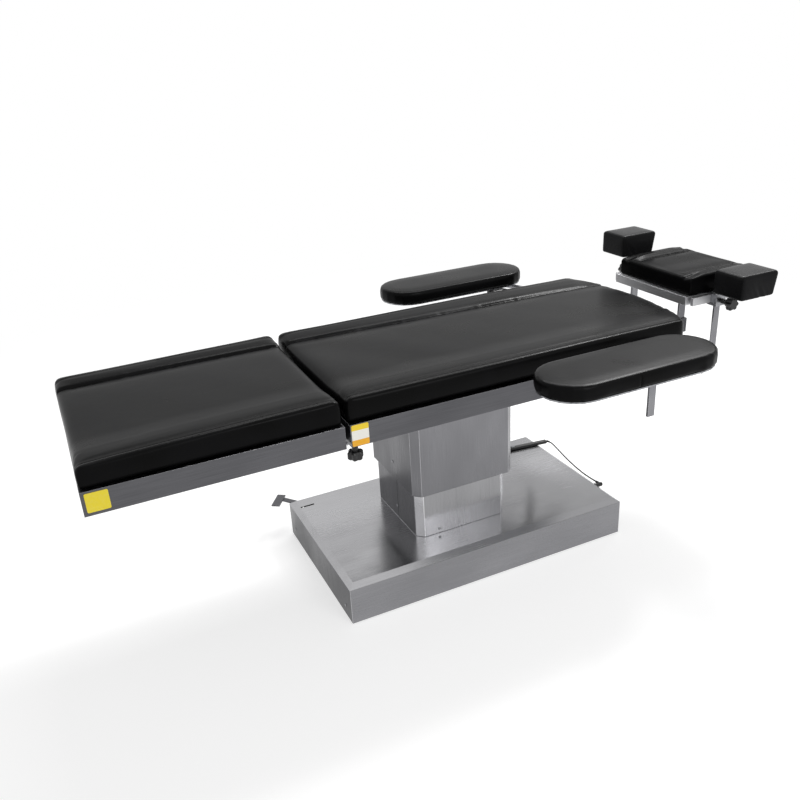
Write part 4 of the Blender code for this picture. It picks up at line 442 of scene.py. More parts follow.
# %% Moulded and plated finishes
def moulded(name, dark, light, roughness, grain_mm):
    """Moulded plastic or rubber: an even colour with a faint spark-eroded grain."""
    finish, tree, shader, where = new_finish(name)
    grain = node(tree, "ShaderNodeTexNoise", {"Vector": where, "Scale": PER_METRE / grain_mm,
                                              "Detail": 2.0}).outputs["Fac"]
    tone = shade_between(tree, grain, 0.35, 0.65, colour(dark), colour(light))
    tree.links.new(tone, shader.inputs["Base Color"])
    tree.links.new(between(tree, grain, 0.3, 0.7, roughness - 0.05, roughness + 0.06),
                   shader.inputs["Roughness"])
    bump = node(tree, "ShaderNodeBump", {"Height": grain, "Strength": 0.12, "Distance": 0.0002})
    tree.links.new(bump.outputs[0], shader.inputs["Normal"])
    return finish


def plated(name, dark, light, roughness, mottle_mm):
    """Plated or coated steel: a soft mottle in colour and gloss."""
    finish, tree, shader, where = new_finish(name)
    mottle = node(tree, "ShaderNodeTexNoise", {"Vector": where, "Scale": PER_METRE / mottle_mm,
                                               "Detail": 5.0}).outputs["Fac"]
    tone = shade_between(tree, mottle, 0.35, 0.65, colour(dark), colour(light))
    tree.links.new(tone, shader.inputs["Base Color"])
    tree.links.new(between(tree, mottle, 0.3, 0.7, roughness - 0.05, roughness + 0.08),
                   shader.inputs["Roughness"])
    shader.inputs["Metallic"].default_value = 1.0
    return finish


dark_coat = plated("dark_grey_coated_steel", "#303133", "#3e3f42", 0.48, 14.0)
zinc = plated("bright_zinc_plate", "#808184", "#a6a7aa", 0.32, 9.0)
black_nylon = moulded("black_glass_filled_nylon", "#0b0b0c", "#161617", 0.36, 0.9)
grey_keys = moulded("grey_abs_keys", "#6f7275", "#83868a", 0.5, 0.8)
black_rubber = moulded("black_rubber", "#121212", "#1c1c1c", 0.72, 1.4)
tread_rubber = moulded("grey_tread_rubber", "#3c3c3d", "#4a4a4b", 0.66, 1.2)
print("finishes", len(bpy.data.materials))


# %% Dress the CAD nodes
def dress(finish, *names):
    """Give CAD nodes a finish."""
    for name in names:
        for slot in nodes[name].material_slots:
            slot.material = finish


dress(skirt_sheet, "base_skirt")
dress(top_sheet, "base_top")
dress(cover_sheet, "column_cover")
dress(sleeve_sheet, "column_sleeve")
dress(frame_sheet, "seat_frame", "leg_frame", "brake_pedal")
dress(head_sheet, "head_frame")
dress(flat_bar, "head_arms", "arm_post_near", "arm_post_far", "wrist_post_near",
      "wrist_post_far")
dress(dark_coat, "chassis", "castor_carrier", "guide_tube", "lift_tube", "arm_clamp_near",
      "arm_clamp_far")
dress(zinc, "lift_motor", "lift_spindle", "tilt_cross", "knee_rod", "head_pivot_rod",
      "wrist_clamp_near", "wrist_clamp_far", "arm_board_near", "arm_board_far")
dress(black_nylon, "knee_knob_near", "knee_knob_far", "wrist_knob_near", "wrist_knob_far",
      "arm_lever_near", "arm_lever_far", "hand_control", "cord_plug")
dress(grey_keys, "key_up", "key_down", "key_tilt_head", "key_tilt_foot")
dress(black_rubber, "foot_near_left", "foot_near_right", "foot_far_right", "foot_far_left")
for row in ("left", "right"):
    for side in ("near", "far"):
        dress(zinc, f"castor_fork_{row}_{side}")
        dress(tread_rubber, f"castor_wheel_{row}_{side}")
cord.data.materials.append(black_rubber)

# %% [markdown]
# ### Folded edges
# Every folded or sawn edge of the real sheets has a small radius, which shows as a thin bright
# line. The CAD faces are joined first by a weld modifier, and a narrow bevel follows. The bevel's
# own faces take the second material, a lighter fold: partly wear from use, partly a painted
# highlight along the edge. The end sheets have upright grain and a darker colour, which is painted
# shade on the faces that look along X. The slanted corners of the lower cover, and its folds, get
# a nearly white painted highlight.

# %% Soften the folds and paint their highlights
FOLD_RADIUS = 0.0011
RAIL_RADIUS = 0.0018
BAR_RADIUS = 0.0007
SLANT = 0.35


def soften(radius, edge_highlight, *names):
    """Join the faces of CAD nodes and put a narrow bevel on their edges, with a lighter finish on the
    bevel that paints the edge highlight.
    """
    for name in names:
        piece = nodes[name]
        weld = piece.modifiers.new("joined_faces", "WELD")
        weld.merge_threshold = 0.00002
        bevel = piece.modifiers.new("fold_radius", "BEVEL")
        bevel.width = radius
        bevel.segments = 2
        bevel.limit_method = "ANGLE"
        bevel.angle_limit = math.radians(35)
        if edge_highlight:
            piece.data.materials.append(edge_highlight)
            bevel.material = 1


# The lighter fold finish on these bevels is a painted highlight along the edges, and stands for wear
# too.
soften(FOLD_RADIUS, worn_and_highlit_fold, "base_skirt", "column_sleeve")
soften(RAIL_RADIUS, worn_and_highlit_fold, "seat_frame", "leg_frame")
# On the lower cover the nearly white fold finish is a painted highlight.
soften(FOLD_RADIUS, highlight_fold, "column_cover")
soften(BAR_RADIUS, worn_and_highlit_fold, "head_frame", "head_arms", "arm_post_near", "arm_post_far",
       "wrist_post_near", "wrist_post_far", "wrist_clamp_near", "wrist_clamp_far",
       "arm_clamp_near", "arm_clamp_far", "brake_pedal")
soften(BAR_RADIUS, None, "hand_control", "key_up", "key_down", "key_tilt_head", "key_tilt_foot",
       "knee_knob_near", "knee_knob_far", "wrist_knob_near", "wrist_knob_far", "arm_lever_near",
       "arm_lever_far", "cord_plug", "lift_motor", "tilt_cross")


def end_faces_painted_light(name, finish):
    """Give the faces of a cover that look along X their own sheet: a darker one paints shade on them,
    a lighter one paints a highlight.
    """
    mesh = nodes[name].data
    mesh.materials.append(finish)
    index = len(mesh.materials) - 1
    for face in mesh.polygons:
        if abs(face.normal.x) > 0.95:
            face.material_index = index


# The end faces of the base skirt, lower cover and sleeve get darker sheets: painted shade.
end_faces_painted_light("base_skirt", shaded_skirt_end)
end_faces_painted_light("column_cover", shaded_cover_end)
end_faces_painted_light("column_sleeve", shaded_sleeve_end)
# The leg frame's end faces take the lighter head-frame sheet: a painted highlight.
end_faces_painted_light("leg_frame", head_sheet)
# The slanted corner faces of the lower cover take the nearly white fold finish: a painted highlight.
slanted = 0
for face in nodes["column_cover"].data.polygons:
    if abs(face.normal.x) > SLANT and abs(face.normal.y) > SLANT:
        face.material_index = 1
        slanted += 1
print("highlighted slanted faces", slanted)

# %% [markdown]
# ## Stuffed covers
# Each cushion is foam in a tight leatherette cover. Its CAD solid has the right outline, but its
# faces are flat. A soft one could be sculpted by hand, or lofted with more stations. Here the CAD
# solid is copied a little smaller, remeshed into even faces, and filled: a cloth simulation with
# pressure swells it against its seams, and a cap keeps it near its real size. Seams come last,
# because a remesh would erase them. Each vertex keeps its distance to the nearest seam, and the
# leatherette reads it, so a seam is a sharp line on any mesh.


def keep_shape(piece):
    """Make the shape that the modifiers give permanent, and drop them."""
    bpy.context.view_layer.update()
    made = bpy.data.meshes.new_from_object(
        piece.evaluated_get(bpy.context.evaluated_depsgraph_get()))
    piece.modifiers.clear()
    old = piece.data
    piece.data = made
    bpy.data.meshes.remove(old)


def places(mesh):
    """The vertices of a mesh as rows of x, y and z."""
    flat = np.empty(len(mesh.vertices) * 3)
    mesh.vertices.foreach_get("co", flat)
    return flat.reshape(-1, 3)


def move_to(mesh, rows):
    """Move the vertices of a mesh."""
    mesh.vertices.foreach_set("co", rows.ravel())
    mesh.update()


def blank(name, face_size, shrink, rounding):
    """A copy of a CAD cushion in the shared frame, with even faces.

    It is drawn in by shrink, or grown where that is negative. More rounding softens its edges."""
    mesh = nodes[name].data.copy()
    mesh.transform(nodes[name].matrix_world)
    rows = places(mesh)
    low, high = rows.min(axis=0), rows.max(axis=0)
    rows[:, :2] += (((low + high) / 2 - rows) * (2 * shrink / (high - low)))[:, :2]
    rows[:, 2] -= (rows[:, 2] - low[2]) * shrink / (high[2] - low[2])
    move_to(mesh, rows)
    piece = bpy.data.objects.new(name + "_cover", mesh)
    bpy.context.scene.collection.objects.link(piece)
    remesh = piece.modifiers.new("even_faces", "REMESH")
    remesh.mode = "VOXEL"
    remesh.voxel_size = face_size
    keep_shape(piece)
    round_off(piece, rounding)
    piece.data.materials.clear()
    return piece


def round_off(piece, steps):
    """Average each vertex with its neighbours a few times."""
    relax = piece.modifiers.new("relax", "SMOOTH")
    relax.factor = 0.5
    relax.iterations = steps
    keep_shape(piece)


def along_edges(piece):
    """1 where a cover turns from one face to the next, 0 on its faces."""
    flat = np.empty(len(piece.data.vertices) * 3)
    piece.data.vertices.foreach_get("normal", flat)
    facing = np.abs(flat.reshape(-1, 3))
    level = np.maximum(facing[:, 2], np.hypot(facing[:, 0], facing[:, 1]))
    return 1.0 - smooth_step(level, 0.90, 0.985)


def evened(mesh, offsets, rounds):
    """Offsets averaged with their neighbours' a few times, so that no crumple stays."""
    ends = np.empty(len(mesh.edges) * 2, dtype=np.int64)
    mesh.edges.foreach_get("vertices", ends)
    one, other = ends[0::2], ends[1::2]
    count = np.bincount(ends, minlength=len(offsets))[:, None]
    for _ in range(rounds):
        total = np.zeros_like(offsets)
        np.add.at(total, one, offsets[other])
        np.add.at(total, other, offsets[one])
        offsets = 0.5 * offsets + 0.5 * total / count
    return offsets


EVENING_ROUNDS = 8


def fill(piece, held, pressure, cap):
    """Swell a cover with cloth pressure. Held vertices stay, and none moves beyond the cap."""
    start = places(piece.data)
    group = piece.vertex_groups.new(name="held")
    for share in np.unique(np.round(held, 1)):
        if share > 0:
            members = np.nonzero(np.round(held, 1) == share)[0]
            group.add([int(i) for i in members], float(share), "REPLACE")
    filling = piece.modifiers.new("filling", "CLOTH")
    filling.settings.use_pressure = True
    filling.settings.uniform_pressure_force = pressure
    filling.settings.effector_weights.gravity = 0.0
    filling.settings.vertex_group_mass = "held"
    filling.settings.tension_stiffness = 12.0
    filling.settings.compression_stiffness = 12.0
    filling.settings.bending_stiffness = 0.6
    filling.settings.quality = 4
    filling.collision_settings.use_collision = False
    for step in range(1, 21):
        bpy.context.scene.frame_set(step)
    evaluated = piece.evaluated_get(bpy.context.evaluated_depsgraph_get())
    moved = places(evaluated.to_mesh()) - start
    evaluated.to_mesh_clear()
    piece.modifiers.clear()
    bpy.context.scene.frame_set(1)
    reach = np.linalg.norm(moved, axis=1)
    moved *= (cap * np.tanh(reach / cap) / np.maximum(reach, 1e-9))[:, None]
    move_to(piece.data, start + evened(piece.data, moved, EVENING_ROUNDS))
    piece.vertex_groups.clear()


def finer(piece):
    """One subdivision, and smooth shading."""
    level = piece.modifiers.new("finer", "SUBSURF")
    level.levels = 1
    level.render_levels = 1
    keep_shape(piece)
    piece.data.polygons.foreach_set("use_smooth", [True] * len(piece.data.polygons))


def smooth_step(value, low, high):
    """0 below low, 1 above high, and a smooth ramp between."""
    share = np.clip((value - low) / (high - low), 0.0, 1.0)
    return share * share * (3.0 - 2.0 * share)


def ripple(along, wave, seed):
    """A smooth uneven wave of about plus or minus one, the same on every run."""
    total = np.zeros_like(along)
    for step in range(5):
        total += np.sin(along * 2 * math.pi / wave * (0.61 + 0.37 * step) + seed * (1.7 + step) * 1.9)
    return total / 2.4


def note_seams(piece, distance):
    """Keep each vertex's signed distance to its nearest seam, for the leatherette."""
    kept = piece.data.attributes.new("seam_distance", "FLOAT", "POINT")
    kept.data.foreach_set("value", distance)


def stuffed(piece, name, body):
    """Dress a finished cover, attach it to the body it rides on, and hide the CAD node it stands for.
    """
    if not piece.data.materials:
        piece.data.materials.append(black_cover)
    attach(piece, body)
    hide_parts(name)
    print(piece.name, len(piece.data.polygons), "faces")


# %% [markdown]
# ### Seat and leg cushions
# Both are slabs with a raised rim. On the far side a seam pulls the cover down where the flat
# panel meets the rim. On the near side the panel rises gently, and a seam runs close to the edge.
# The CAD section is the same on both sides, so the covers get the difference here, as a height
# that is added to the top. The box's own sizes come from the CAD cushions.

# %% Shape of the rims
PANEL_HEIGHT = 0.667
RIM_RISE = 0.012
RIM_INNER = 0.1945
RIM_CREST = 0.2519
CUSHION_HALF = 0.2815
CREST_TO_SIDE = 0.0296
CUSHION_SIDE_TOP = 0.655
FAR_RISE = 0.0098
NEAR_SEAM = -0.2610
NEAR_RISE = 0.0065
NEAR_RISE_FROM = 0.125
BOXINESS = 4.0
FAR_SIDE_LIFT = 0.7
NO_SEAM = 0.2
SEAT_FADE_FROM = 0.331
SEAT_SHOULDER = 0.631
SEAT_HEAD_END = 0.716


def crease_line(x):
    """How far out the far seam runs. It draws in towards the head end."""
    return np.interp(x, [-1.03, -0.40, 0.0, 0.50, 0.72], [0.202, 0.194, 0.177, 0.166, 0.150])


def rim_share(x):
    """How much of the full rise the rims have. It fades before the bowed head end."""
    return np.interp(x, [SEAT_FADE_FROM, SEAT_SHOULDER, SEAT_HEAD_END], [1.0, 0.6, 0.0])


def cad_rise(y):
    """Height of the CAD section above its panel, from the panel out to the crest."""
    return np.interp(np.abs(y), [RIM_INNER, 0.2276, RIM_CREST], [0.0, 0.0074, RIM_RISE])


def boxier(y, z):
    """Push the wide rounding of the CAD's long edges out to the tighter one of a boxed cover."""
    out = np.clip((np.abs(y) - RIM_CREST) / (CUSHION_HALF - RIM_CREST), 0.0, 1.3)
    up = np.clip((z - CUSHION_SIDE_TOP) / (PANEL_HEIGHT + RIM_RISE - CUSHION_SIDE_TOP), 0.0, 1.3)
    push = np.hypot(out, up) / np.maximum((out ** BOXINESS + up ** BOXINESS) ** (1.0 / BOXINESS), 1e-6)
    push = np.where((out > 0.0) & (up > 0.0), push, 1.0)
    y = np.where(out > 0.0, np.sign(y) * (RIM_CREST + (np.abs(y) - RIM_CREST) * push), y)
    z = np.where(up > 0.0, CUSHION_SIDE_TOP + (z - CUSHION_SIDE_TOP) * push, z)
    return y, z


def rim_difference(x, y):
    """What the real cover adds to the CAD section's height."""
    out = np.clip((y - crease_line(x)) / (RIM_CREST - crease_line(x)), 0.0, 1.0)
    far = FAR_RISE * (0.58 * smooth_step(out, 0.0, 0.15) + 0.42 * out)
    near = NEAR_RISE * smooth_step(-y, NEAR_RISE_FROM, RIM_CREST)
    share = rim_share(x)
    change = np.where(y > 0, far * share, near * share) - cad_rise(y) * share
    past_crest = np.clip((np.abs(y) - RIM_CREST) / CREST_TO_SIDE, 0.0, 1.0)
    change *= np.where((y < 0) | (past_crest == 0), 1.0 - past_crest, 0.0)
    return change * (1.0 - smooth_step(x, 0.60, 0.68))


# %% Make the seat and leg cushions
def long_cover(name, body, droop, face_size):
    """A seat or leg cover with its rims, its far crease and its near seam."""
    piece = blank(name, face_size, shrink=0.0, rounding=2)
    rows = places(piece.data)
    sunk = droop(rows[:, 0])
    rows[:, 1], lifted = boxier(rows[:, 1], rows[:, 2] + sunk)
    x, y = rows[:, 0], rows[:, 1]
    rows[:, 2] = lifted - sunk * (1.0 - FAR_SIDE_LIFT * smooth_step(y, -0.10, 0.20))
    sunk = lifted - rows[:, 2]
    on_top = smooth_step(rows[:, 2] + sunk, 0.652, 0.660)
    rows[:, 2] += on_top * rim_difference(x, y)
    low, high = rows.min(axis=0), rows.max(axis=0)
    middle = (low[0] + high[0]) / 2
    end_share = np.clip(np.abs(x - middle) / ((high[0] - low[0]) / 2), 0.0, 1.0)
    rows[:, 1] -= np.sign(y) * smooth_step(np.abs(y), 0.22, 0.28) * 0.0024 * (1.0 - end_share ** 4)
    move_to(piece.data, rows)
    from_crease = np.abs(y - crease_line(x))
    from_seam = np.abs(y - NEAR_SEAM)
    held = np.maximum(1.0 - smooth_step(from_crease, 0.004, 0.016),
                      0.7 * (1.0 - smooth_step(from_seam, 0.003, 0.012))) * on_top
    held = np.maximum(held, 1.0 - smooth_step(rows[:, 2], low[2] + 0.002, low[2] + 0.012))
    fill(piece, held, pressure=4.0, cap=0.0035)
    finer(piece)
    rows = places(piece.data)
    x, y = rows[:, 0], rows[:, 1]
    on_top = smooth_step(rows[:, 2] + droop(x), 0.650, 0.657)
    to_crease = y - crease_line(x)
    to_seam = y - NEAR_SEAM
    ends = np.minimum(x - rows[:, 0].min(), rows[:, 0].max() - x)
    alive = on_top * smooth_step(ends, 0.002, 0.012)
    pulled = 0.0018 * np.exp(-(to_crease / 0.0042) ** 2) + 0.0011 * np.exp(-(to_seam / 0.004) ** 2)
    puckers = (0.0003 * ripple(x, 0.050, 1.0) * np.exp(-(to_crease / 0.014) ** 2)
               + 0.0002 * ripple(x, 0.026, 2.0) * np.exp(-(to_seam / 0.010) ** 2))
    wander = 0.0004 * ripple(x * 0.7 + y * 0.5, 0.31, 4.0) * smooth_step(0.17 - np.abs(y), 0.0, 0.06)
    rows[:, 2] += alive * (puckers - pulled + wander)
    move_to(piece.data, rows)
    nearest = np.where(np.abs(to_crease) < np.abs(to_seam), to_crease, to_seam)
    note_seams(piece, np.where(on_top > 0.5, nearest, NO_SEAM))
    stuffed(piece, name, body)


def seat_droop(x):
    """The seat cushion is level."""
    return np.zeros_like(x)


def leg_droop(x):
    """The leg cushion sinks a little towards the foot end."""
    return 0.011 * np.clip((-0.414 - x) / 0.608, 0.0, 1.0) ** 2


long_cover("seat_cushion", "seat", seat_droop, face_size=0.0088)
long_cover("leg_cushion", "leg", leg_droop, face_size=0.0075)

# %% [markdown]
# ### Head cushion
# A shallow tray of foam holds the head: a flat panel between two bolsters that run along the
# table. The bolsters rise behind the rounded front edge. Their inner foot is a seam, so the cover
# is pulled down there.

# %% Make the head cushion
BOLSTER_FOOT = 0.097
BOLSTER_TOP = 0.131
BOLSTER_RISE = 0.0115
HEAD_PANEL = 0.7440
HEAD_HALF = 0.160
HEAD_FRONT, HEAD_BACK = 0.769, 1.022


def cad_head_height(x, y):
    """Top of the CAD head cushion: its bolsters, lowered sides and rounded ends."""
    rise = np.interp(x, [HEAD_FRONT, 0.783, 0.814, 0.977, 1.008, HEAD_BACK],
                     [0.0, 0.25, 1.0, 1.0, 0.55, 0.0])
    sunk = np.interp(x, [HEAD_FRONT, 0.783, 1.008, HEAD_BACK], [0.0098, 0.0, 0.0, 0.0098])
    side = 0.020 * np.clip((y / HEAD_HALF - 0.82) / 0.18, 0.0, 1.0)
    return HEAD_PANEL + 0.011 * rise * np.exp(-((y - 0.122) / 0.028) ** 2) - side - sunk


def head_height(x, y):
    """Top of the real head cushion: full sides, and bolsters that swell behind the front edge."""
    swell = smooth_step(x, HEAD_FRONT, 0.835) * (1.0 - 0.85 * smooth_step(x, 0.965, HEAD_BACK))
    inner = np.clip((y - BOLSTER_FOOT) / (BOLSTER_TOP - BOLSTER_FOOT), 0.0, 1.0)
    ridge = ((0.6 * inner + 0.4 * smooth_step(inner, 0.0, 1.0))
             * (1.0 - 0.70 * smooth_step(y, 0.134, 0.160)))
    side = 0.002 * smooth_step(y, 0.152, 0.161)
    ends = 0.003 * (1.0 - smooth_step(x, HEAD_FRONT, HEAD_FRONT + 0.010)
                    + smooth_step(x, HEAD_BACK - 0.010, HEAD_BACK))
    return HEAD_PANEL + BOLSTER_RISE * swell * ridge - side - ends


def head_cover():
    """The concave head cushion with its two bolsters."""
    piece = blank("head_cushion", 0.0042, shrink=-0.0004, rounding=2)
    rows = places(piece.data)
    low = rows.min(axis=0)
    x, y = rows[:, 0], np.abs(rows[:, 1])
    stretch = (head_height(x, y) - low[2]) / (cad_head_height(x, y) - low[2])
    rows[:, 2] = low[2] + (rows[:, 2] - low[2]) * stretch
    move_to(piece.data, rows)
    round_off(piece, 4)
    rows = places(piece.data)
    y = np.abs(rows[:, 1])
    foot = np.abs(y - BOLSTER_FOOT)
    held = (1.0 - smooth_step(foot, 0.003, 0.012)) * smooth_step(rows[:, 2], 0.730, 0.738)
    held = np.maximum(held, 1.0 - smooth_step(rows[:, 2], low[2] + 0.002, low[2] + 0.010))
    held = np.maximum(held, along_edges(piece))
    fill(piece, held, pressure=3.0, cap=0.0022)
    finer(piece)
    rows = places(piece.data)
    x, y = rows[:, 0], np.abs(rows[:, 1])
    on_top = smooth_step(rows[:, 2], 0.726, 0.738)
    inside = smooth_step(x, 0.775, 0.800) * (1.0 - smooth_step(x, 0.985, 1.015))
    pulled = 0.0026 * np.exp(-((y - BOLSTER_FOOT) / 0.006) ** 2)
    dished = 0.0020 * (1.0 - smooth_step(y, 0.0, BOLSTER_FOOT))
    puckers = 0.0002 * ripple(x, 0.028, 6.0) * np.exp(-((y - BOLSTER_FOOT) / 0.012) ** 2)
    rows[:, 2] += on_top * inside * (puckers - pulled - dished)
    move_to(piece.data, rows)
    note_seams(piece, np.where(on_top * inside > 0.4, y - BOLSTER_FOOT, NO_SEAM))
    piece.data.materials.append(matt_cover)
    stuffed(piece, "head_cushion", "head")


head_cover()

# %% [markdown]
# ### Wrist blocks
# The two blocks beside the head are firm foam boxes with crisp boxed corners. Their back face
# leans in towards the bottom. The cover has a few slack folds near its lower edge.

# %% Make the wrist blocks
def block_cover(side):
    """A firm foam block whose back face leans in towards the bottom."""
    name = f"wrist_cushion_{side}"
    piece = blank(name, 0.0032, shrink=-0.0004, rounding=2)
    rows = places(piece.data)
    low, high = rows.min(axis=0), rows.max(axis=0)
    height = (rows[:, 2] - low[2]) / (high[2] - low[2])
    along = (rows[:, 0] - low[0]) / (high[0] - low[0])
    rows[:, 0] -= 0.013 * (1.0 - height) * smooth_step(along, 0.35, 1.0)
    move_to(piece.data, rows)
    held = 1.0 - smooth_step(rows[:, 2], low[2] + 0.002, low[2] + 0.010)
    fill(piece, np.maximum(held, along_edges(piece)), pressure=2.0, cap=0.0014)
    finer(piece)
    rows = places(piece.data)
    across = (rows[:, 1] - rows[:, 1].mean()) / 0.056
    lower = 1.0 - smooth_step(rows[:, 2], low[2] + 0.006, low[2] + 0.050)
    slack = 0.0007 * ripple(rows[:, 0] * 1.4 + rows[:, 2] * 0.8, 0.060, 3.0 + low[1])
    rows[:, 1] += lower * slack * np.sign(across) * smooth_step(np.abs(across), 0.80, 0.95)
    move_to(piece.data, rows)
    note_seams(piece, np.full(len(rows), NO_SEAM))
    piece.data.materials.append(charcoal_cover)
    stuffed(piece, name, f"wrist_post_{side}")


for side in ("near", "far"):
    block_cover(side)

# %% [markdown]
# ### Armrest pads
# Each pad is a long firm cushion with round ends on a thin board. Its cover is one strip round
# the side, joined by an upright seam in the middle of the outer side, and its top edge is soft.

# %% Make the armrest pads
PAD_SEAM = 0.2530


def pad_cover(side):
    """An armrest pad with the upright joint of its side strip."""
    name = f"arm_pad_{side}"
    piece = blank(name, 0.0050, shrink=0.0002, rounding=3)
    rows = places(piece.data)
    low = rows.min(axis=0)
    held = 1.0 - smooth_step(rows[:, 2], low[2] + 0.002, low[2] + 0.010)
    fill(piece, np.maximum(held, along_edges(piece)), pressure=3.0, cap=0.0020)
    finer(piece)
    rows = places(piece.data)
    middle = (rows[:, 1].min() + rows[:, 1].max()) / 2
    outer = np.sign(middle) * (rows[:, 1] - middle)
    on_side = smooth_step(outer, 0.070, 0.088) * (1.0 - smooth_step(rows[:, 2], 0.684, 0.690))
    to_seam = rows[:, 0] - PAD_SEAM
    pulled = 0.0012 * np.exp(-(to_seam / 0.004) ** 2)
    slack = 0.0006 * ripple(rows[:, 0], 0.110, 5.0) * (1.0 - smooth_step(rows[:, 2], 0.655, 0.675))
    rows[:, 1] += np.sign(middle) * on_side * (slack - pulled)
    move_to(piece.data, rows)
    note_seams(piece, np.where(on_side > 0.2, to_seam, NO_SEAM))
    stuffed(piece, name, f"armrest_{side}")


for side in ("near", "far"):
    pad_cover(side)

# %% [markdown]
# ## Small fittings
# Pan-head screws hold the covers, and a joint line shows where the two halves of the lower cover
# meet. Two thin printed plates sit on the side rails. Their print is left off, so they are plain
# bands of colour. The cord leaves the hand control through a ribbed, tapered sleeve.

# %% Build a fitting
def closed_mesh(name, form):
    """The finished mesh of a form, with its faces turned outwards."""
    bmesh.ops.recalc_face_normals(form, faces=form.faces)
    mesh = bpy.data.meshes.new(name)
    form.to_mesh(mesh)
    form.free()
    return mesh


def skinned(name, rings):
    """A mesh through closed rings of points, with a flat cap at each end."""
    form = bmesh.new()
    rings = [[form.verts.new(point) for point in ring] for ring in rings]
    for low, high in zip(rings, rings[1:]):
        for k in range(len(low)):
            n = (k + 1) % len(low)
            form.faces.new([low[k], low[n], high[n], high[k]])
    form.faces.new(rings[0])
    form.faces.new(rings[-1])
    return closed_mesh(name, form)


def fitting(mesh, finish, body, smooth=False):
    """Add a small piece, named after its mesh, that rides on a body."""
    if smooth:
        mesh.polygons.foreach_set("use_smooth", [True] * len(mesh.polygons))
    piece = bpy.data.objects.new(mesh.name, mesh)
    bpy.context.scene.collection.objects.link(piece)
    mesh.materials.append(finish)
    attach(piece, body)
    return piece


# %% Screws
SCREW_RADIUS = 0.0042
SCREW_RISE = 0.0016
SCREW_PROFILE = ((0.0, 0.55), (0.30, 0.55), (0.38, 0.95), (0.62, 1.0), (0.86, 0.72), (1.0, 0.12),
                 (1.0, -0.2))


def turned_mesh(name, profile, steps):
    """A round piece from (radius, height) pairs, turned about Z."""
    form = bmesh.new()
    rings = []
    for radius, height in profile:
        if radius < 1e-6:
            rings.append([form.verts.new((0.0, 0.0, height))])
            continue
        rings.append([form.verts.new((radius * math.cos(2 * math.pi * k / steps),
                                      radius * math.sin(2 * math.pi * k / steps), height))
                      for k in range(steps)])
    for inner, outer in zip(rings, rings[1:]):
        for k in range(steps):
            n = (k + 1) % steps
            around = [inner[0]] if len(inner) == 1 else [inner[k], inner[n]]
            form.faces.new([*around, outer[n], outer[k]] if len(around) == 2
                           else [around[0], outer[n], outer[k]])
    form.faces.new(rings[-1])
    return closed_mesh(name, form)


def screw(name, body, place, facing):
    """A pan-head screw with a recess, on a flat face that looks along facing."""
    mesh = turned_mesh(name, [(share * SCREW_RADIUS, rise * SCREW_RISE)
                              for share, rise in SCREW_PROFILE], 24)
    turn = Vector(facing).to_track_quat("Z", "Y").to_matrix().to_4x4()
    mesh.transform(Matrix.Translation(place) @ turn)
    piece = fitting(mesh, zinc, body, smooth=True)
    return piece


screws = [
    screw("skirt_screw_far", "base", (-0.4313, 0.2203, 0.0370), (-1, 0, 0)),
    screw("skirt_screw_near", "base", (-0.4313, -0.2110, 0.0360), (-1, 0, 0)),
    screw("cover_screw_end", "base", (-0.1683, -0.0044, 0.1629), (-1, 0, 0)),
    screw("cover_screw_near", "base", (-0.1007, -0.1473, 0.1400), (0, -1, 0)),
    screw("sleeve_screw_end", "lift", (-0.1773, -0.0090, 0.3184), (-1, 0, 0))]
print("screws", len(screws))

# %% Joint line of the lower cover
JOINT_WIDTH = 0.0012
JOINT_RISE = 0.0002


def joint_line(name, body, x, y, z_low, z_high, outward):
    """A thin dark strip in the joint between two sheets, with a small overlap lip."""
    outline = [(0.0, -JOINT_WIDTH / 2), (JOINT_RISE, -JOINT_WIDTH / 3),
               (JOINT_RISE, JOINT_WIDTH / 3), (0.0, JOINT_WIDTH / 2)]
    rings = [[(x + outward * rise, y + across, z) for rise, across in outline]
             for z in (z_low, (z_low + z_high) / 2, z_high)]
    piece = fitting(skinned(name, rings), dark_coat, body)
    return piece


joints = [joint_line("cover_joint_foot_end", "base", -0.1682, -0.0100, 0.1258, 0.4680, -1),
          joint_line("cover_joint_head_end", "base", 0.1272, -0.0100, 0.1258, 0.4680, 1)]
print("joint lines", len(joints))


# %% Plain coloured plates
def printed_plate(name, bands):
    """Printed polyester film: flat bands of colour by height, with a faint painted glow."""
    finish, tree, shader, where = new_finish(name)
    height = node(tree, "ShaderNodeSeparateXYZ", {0: where}).outputs["Z"]
    tone = colour(bands[0][1])
    for start, code in bands[1:]:
        above = node(tree, "ShaderNodeMath", {0: height, 1: start},
                     operation="GREATER_THAN").outputs[0]
        tone = node(tree, "ShaderNodeMix", {0: above, 6: tone, 7: colour(code)},
                    data_type="RGBA").outputs[2]
    print_grain = node(tree, "ShaderNodeTexNoise", {"Vector": where, "Detail": 3.0,
                                                    "Scale": PER_METRE / 6.0}).outputs["Fac"]
    faded = node(tree, "ShaderNodeMix", {0: between(tree, print_grain, 0.45, 0.75, 0.0, 0.05),
                                         6: tone, 7: colour("#ffffff")}, data_type="RGBA")
    tree.links.new(faded.outputs[2], shader.inputs["Base Color"])
    tree.links.new(faded.outputs[2], shader.inputs["Emission Color"])
    # The emission is a painted glow that brightens the print; the plate is no lamp.
    shader.inputs["Emission Strength"].default_value = 0.16
    tree.links.new(between(tree, print_grain, 0.3, 0.7, 0.32, 0.42), shader.inputs["Roughness"])
    return finish


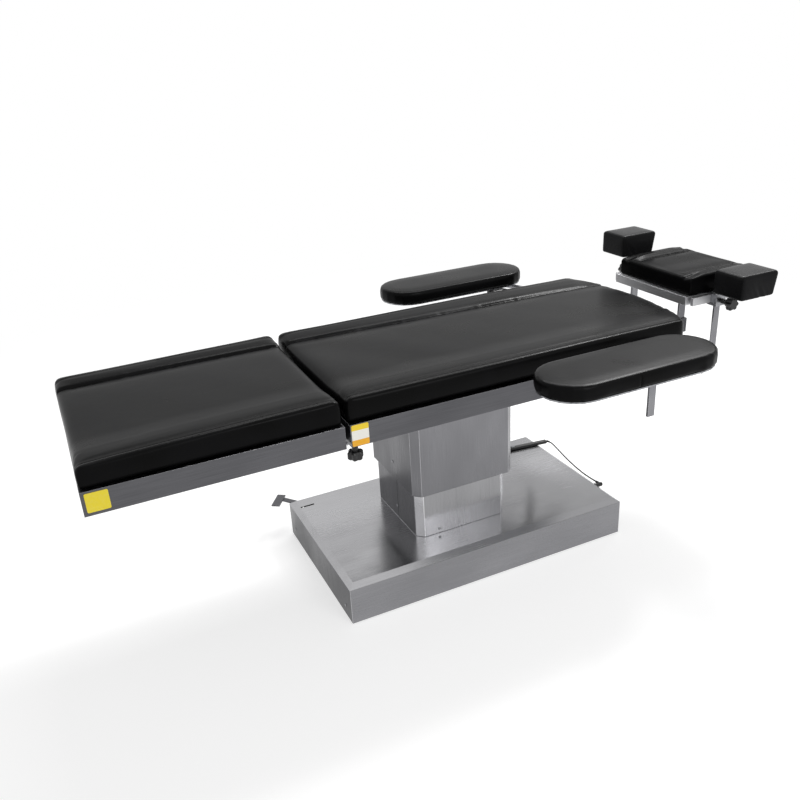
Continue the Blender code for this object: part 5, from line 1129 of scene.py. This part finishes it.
def side_plate(name, body, x_range, z_range, finish):
    """A thin plate with rounded corners on the near side rail."""
    corner = 0.0035
    outline = []
    for cx, cz, start in ((x_range[1] - corner, z_range[1] - corner, 0),
                          (x_range[0] + corner, z_range[1] - corner, 90),
                          (x_range[0] + corner, z_range[0] + corner, 180),
                          (x_range[1] - corner, z_range[0] + corner, 270)):
        for k in range(6):
            turn = math.radians(start + 18 * k)
            outline.append((cx + corner * math.cos(turn), cz + corner * math.sin(turn)))
    middle_x, middle_z = (sum(values) / len(outline) for values in zip(*outline))
    rings = [[(middle_x + (x - middle_x) * share, PLATE_FACE - out,
               middle_z + (z - middle_z) * share) for x, z in outline]
             for out, share in ((0.0002, 1.0), (0.0008, 1.0), (0.0011, 0.985))]
    fitting(skinned(name, rings), finish, body)


PLATE_FACE = -0.2885
banded = printed_plate("banded_yellow_plate_painted_glow", ((0.0, "#f8b41e"), (0.5680, "#faf7ee"),
                                               (0.5935, "#fad82e")))
plain_yellow = printed_plate("plain_yellow_plate_painted_glow", ((0.0, "#f8e234"),))
side_plate("seat_rail_plate", "seat", (-0.3985, -0.3535), (0.5515, 0.6085), banded)
side_plate("leg_rail_plate", "leg", (-1.0140, -0.9640), (0.5580, 0.6050), plain_yellow)
print("plates", 2)

# %% Cord sleeve
SLEEVE_LENGTH = 0.014
SLEEVE_RINGS = 29


def cord_sleeve(name, route):
    """A ribbed sleeve that tapers along the first stretch of the cord."""
    lengths = np.cumsum([0.0] + [(b - a).length for a, b in zip(route, route[1:])])
    rings = []
    for i in range(SLEEVE_RINGS):
        share = i / (SLEEVE_RINGS - 1)
        reach = share * SLEEVE_LENGTH
        at = Vector([float(np.interp(reach, lengths, [p[k] for p in route])) for k in range(3)])
        past = Vector([float(np.interp(reach + 0.002, lengths, [p[k] for p in route]))
                       for k in range(3)])
        turn = (past - at).to_track_quat("Z", "Y")
        rib = 0.0003 * math.cos(share * 2 * math.pi * 4)
        radius = 0.0040 - 0.0013 * share + rib
        rings.append([at + turn @ Vector((radius * math.cos(k * math.pi / 10),
                                          radius * math.sin(k * math.pi / 10), 0))
                      for k in range(20)])
    piece = fitting(skinned(name, rings), black_rubber, "base", smooth=True)


cord_sleeve("control_cord_sleeve", cord_route)
print("cord sleeve", SLEEVE_LENGTH * PER_METRE, "mm")
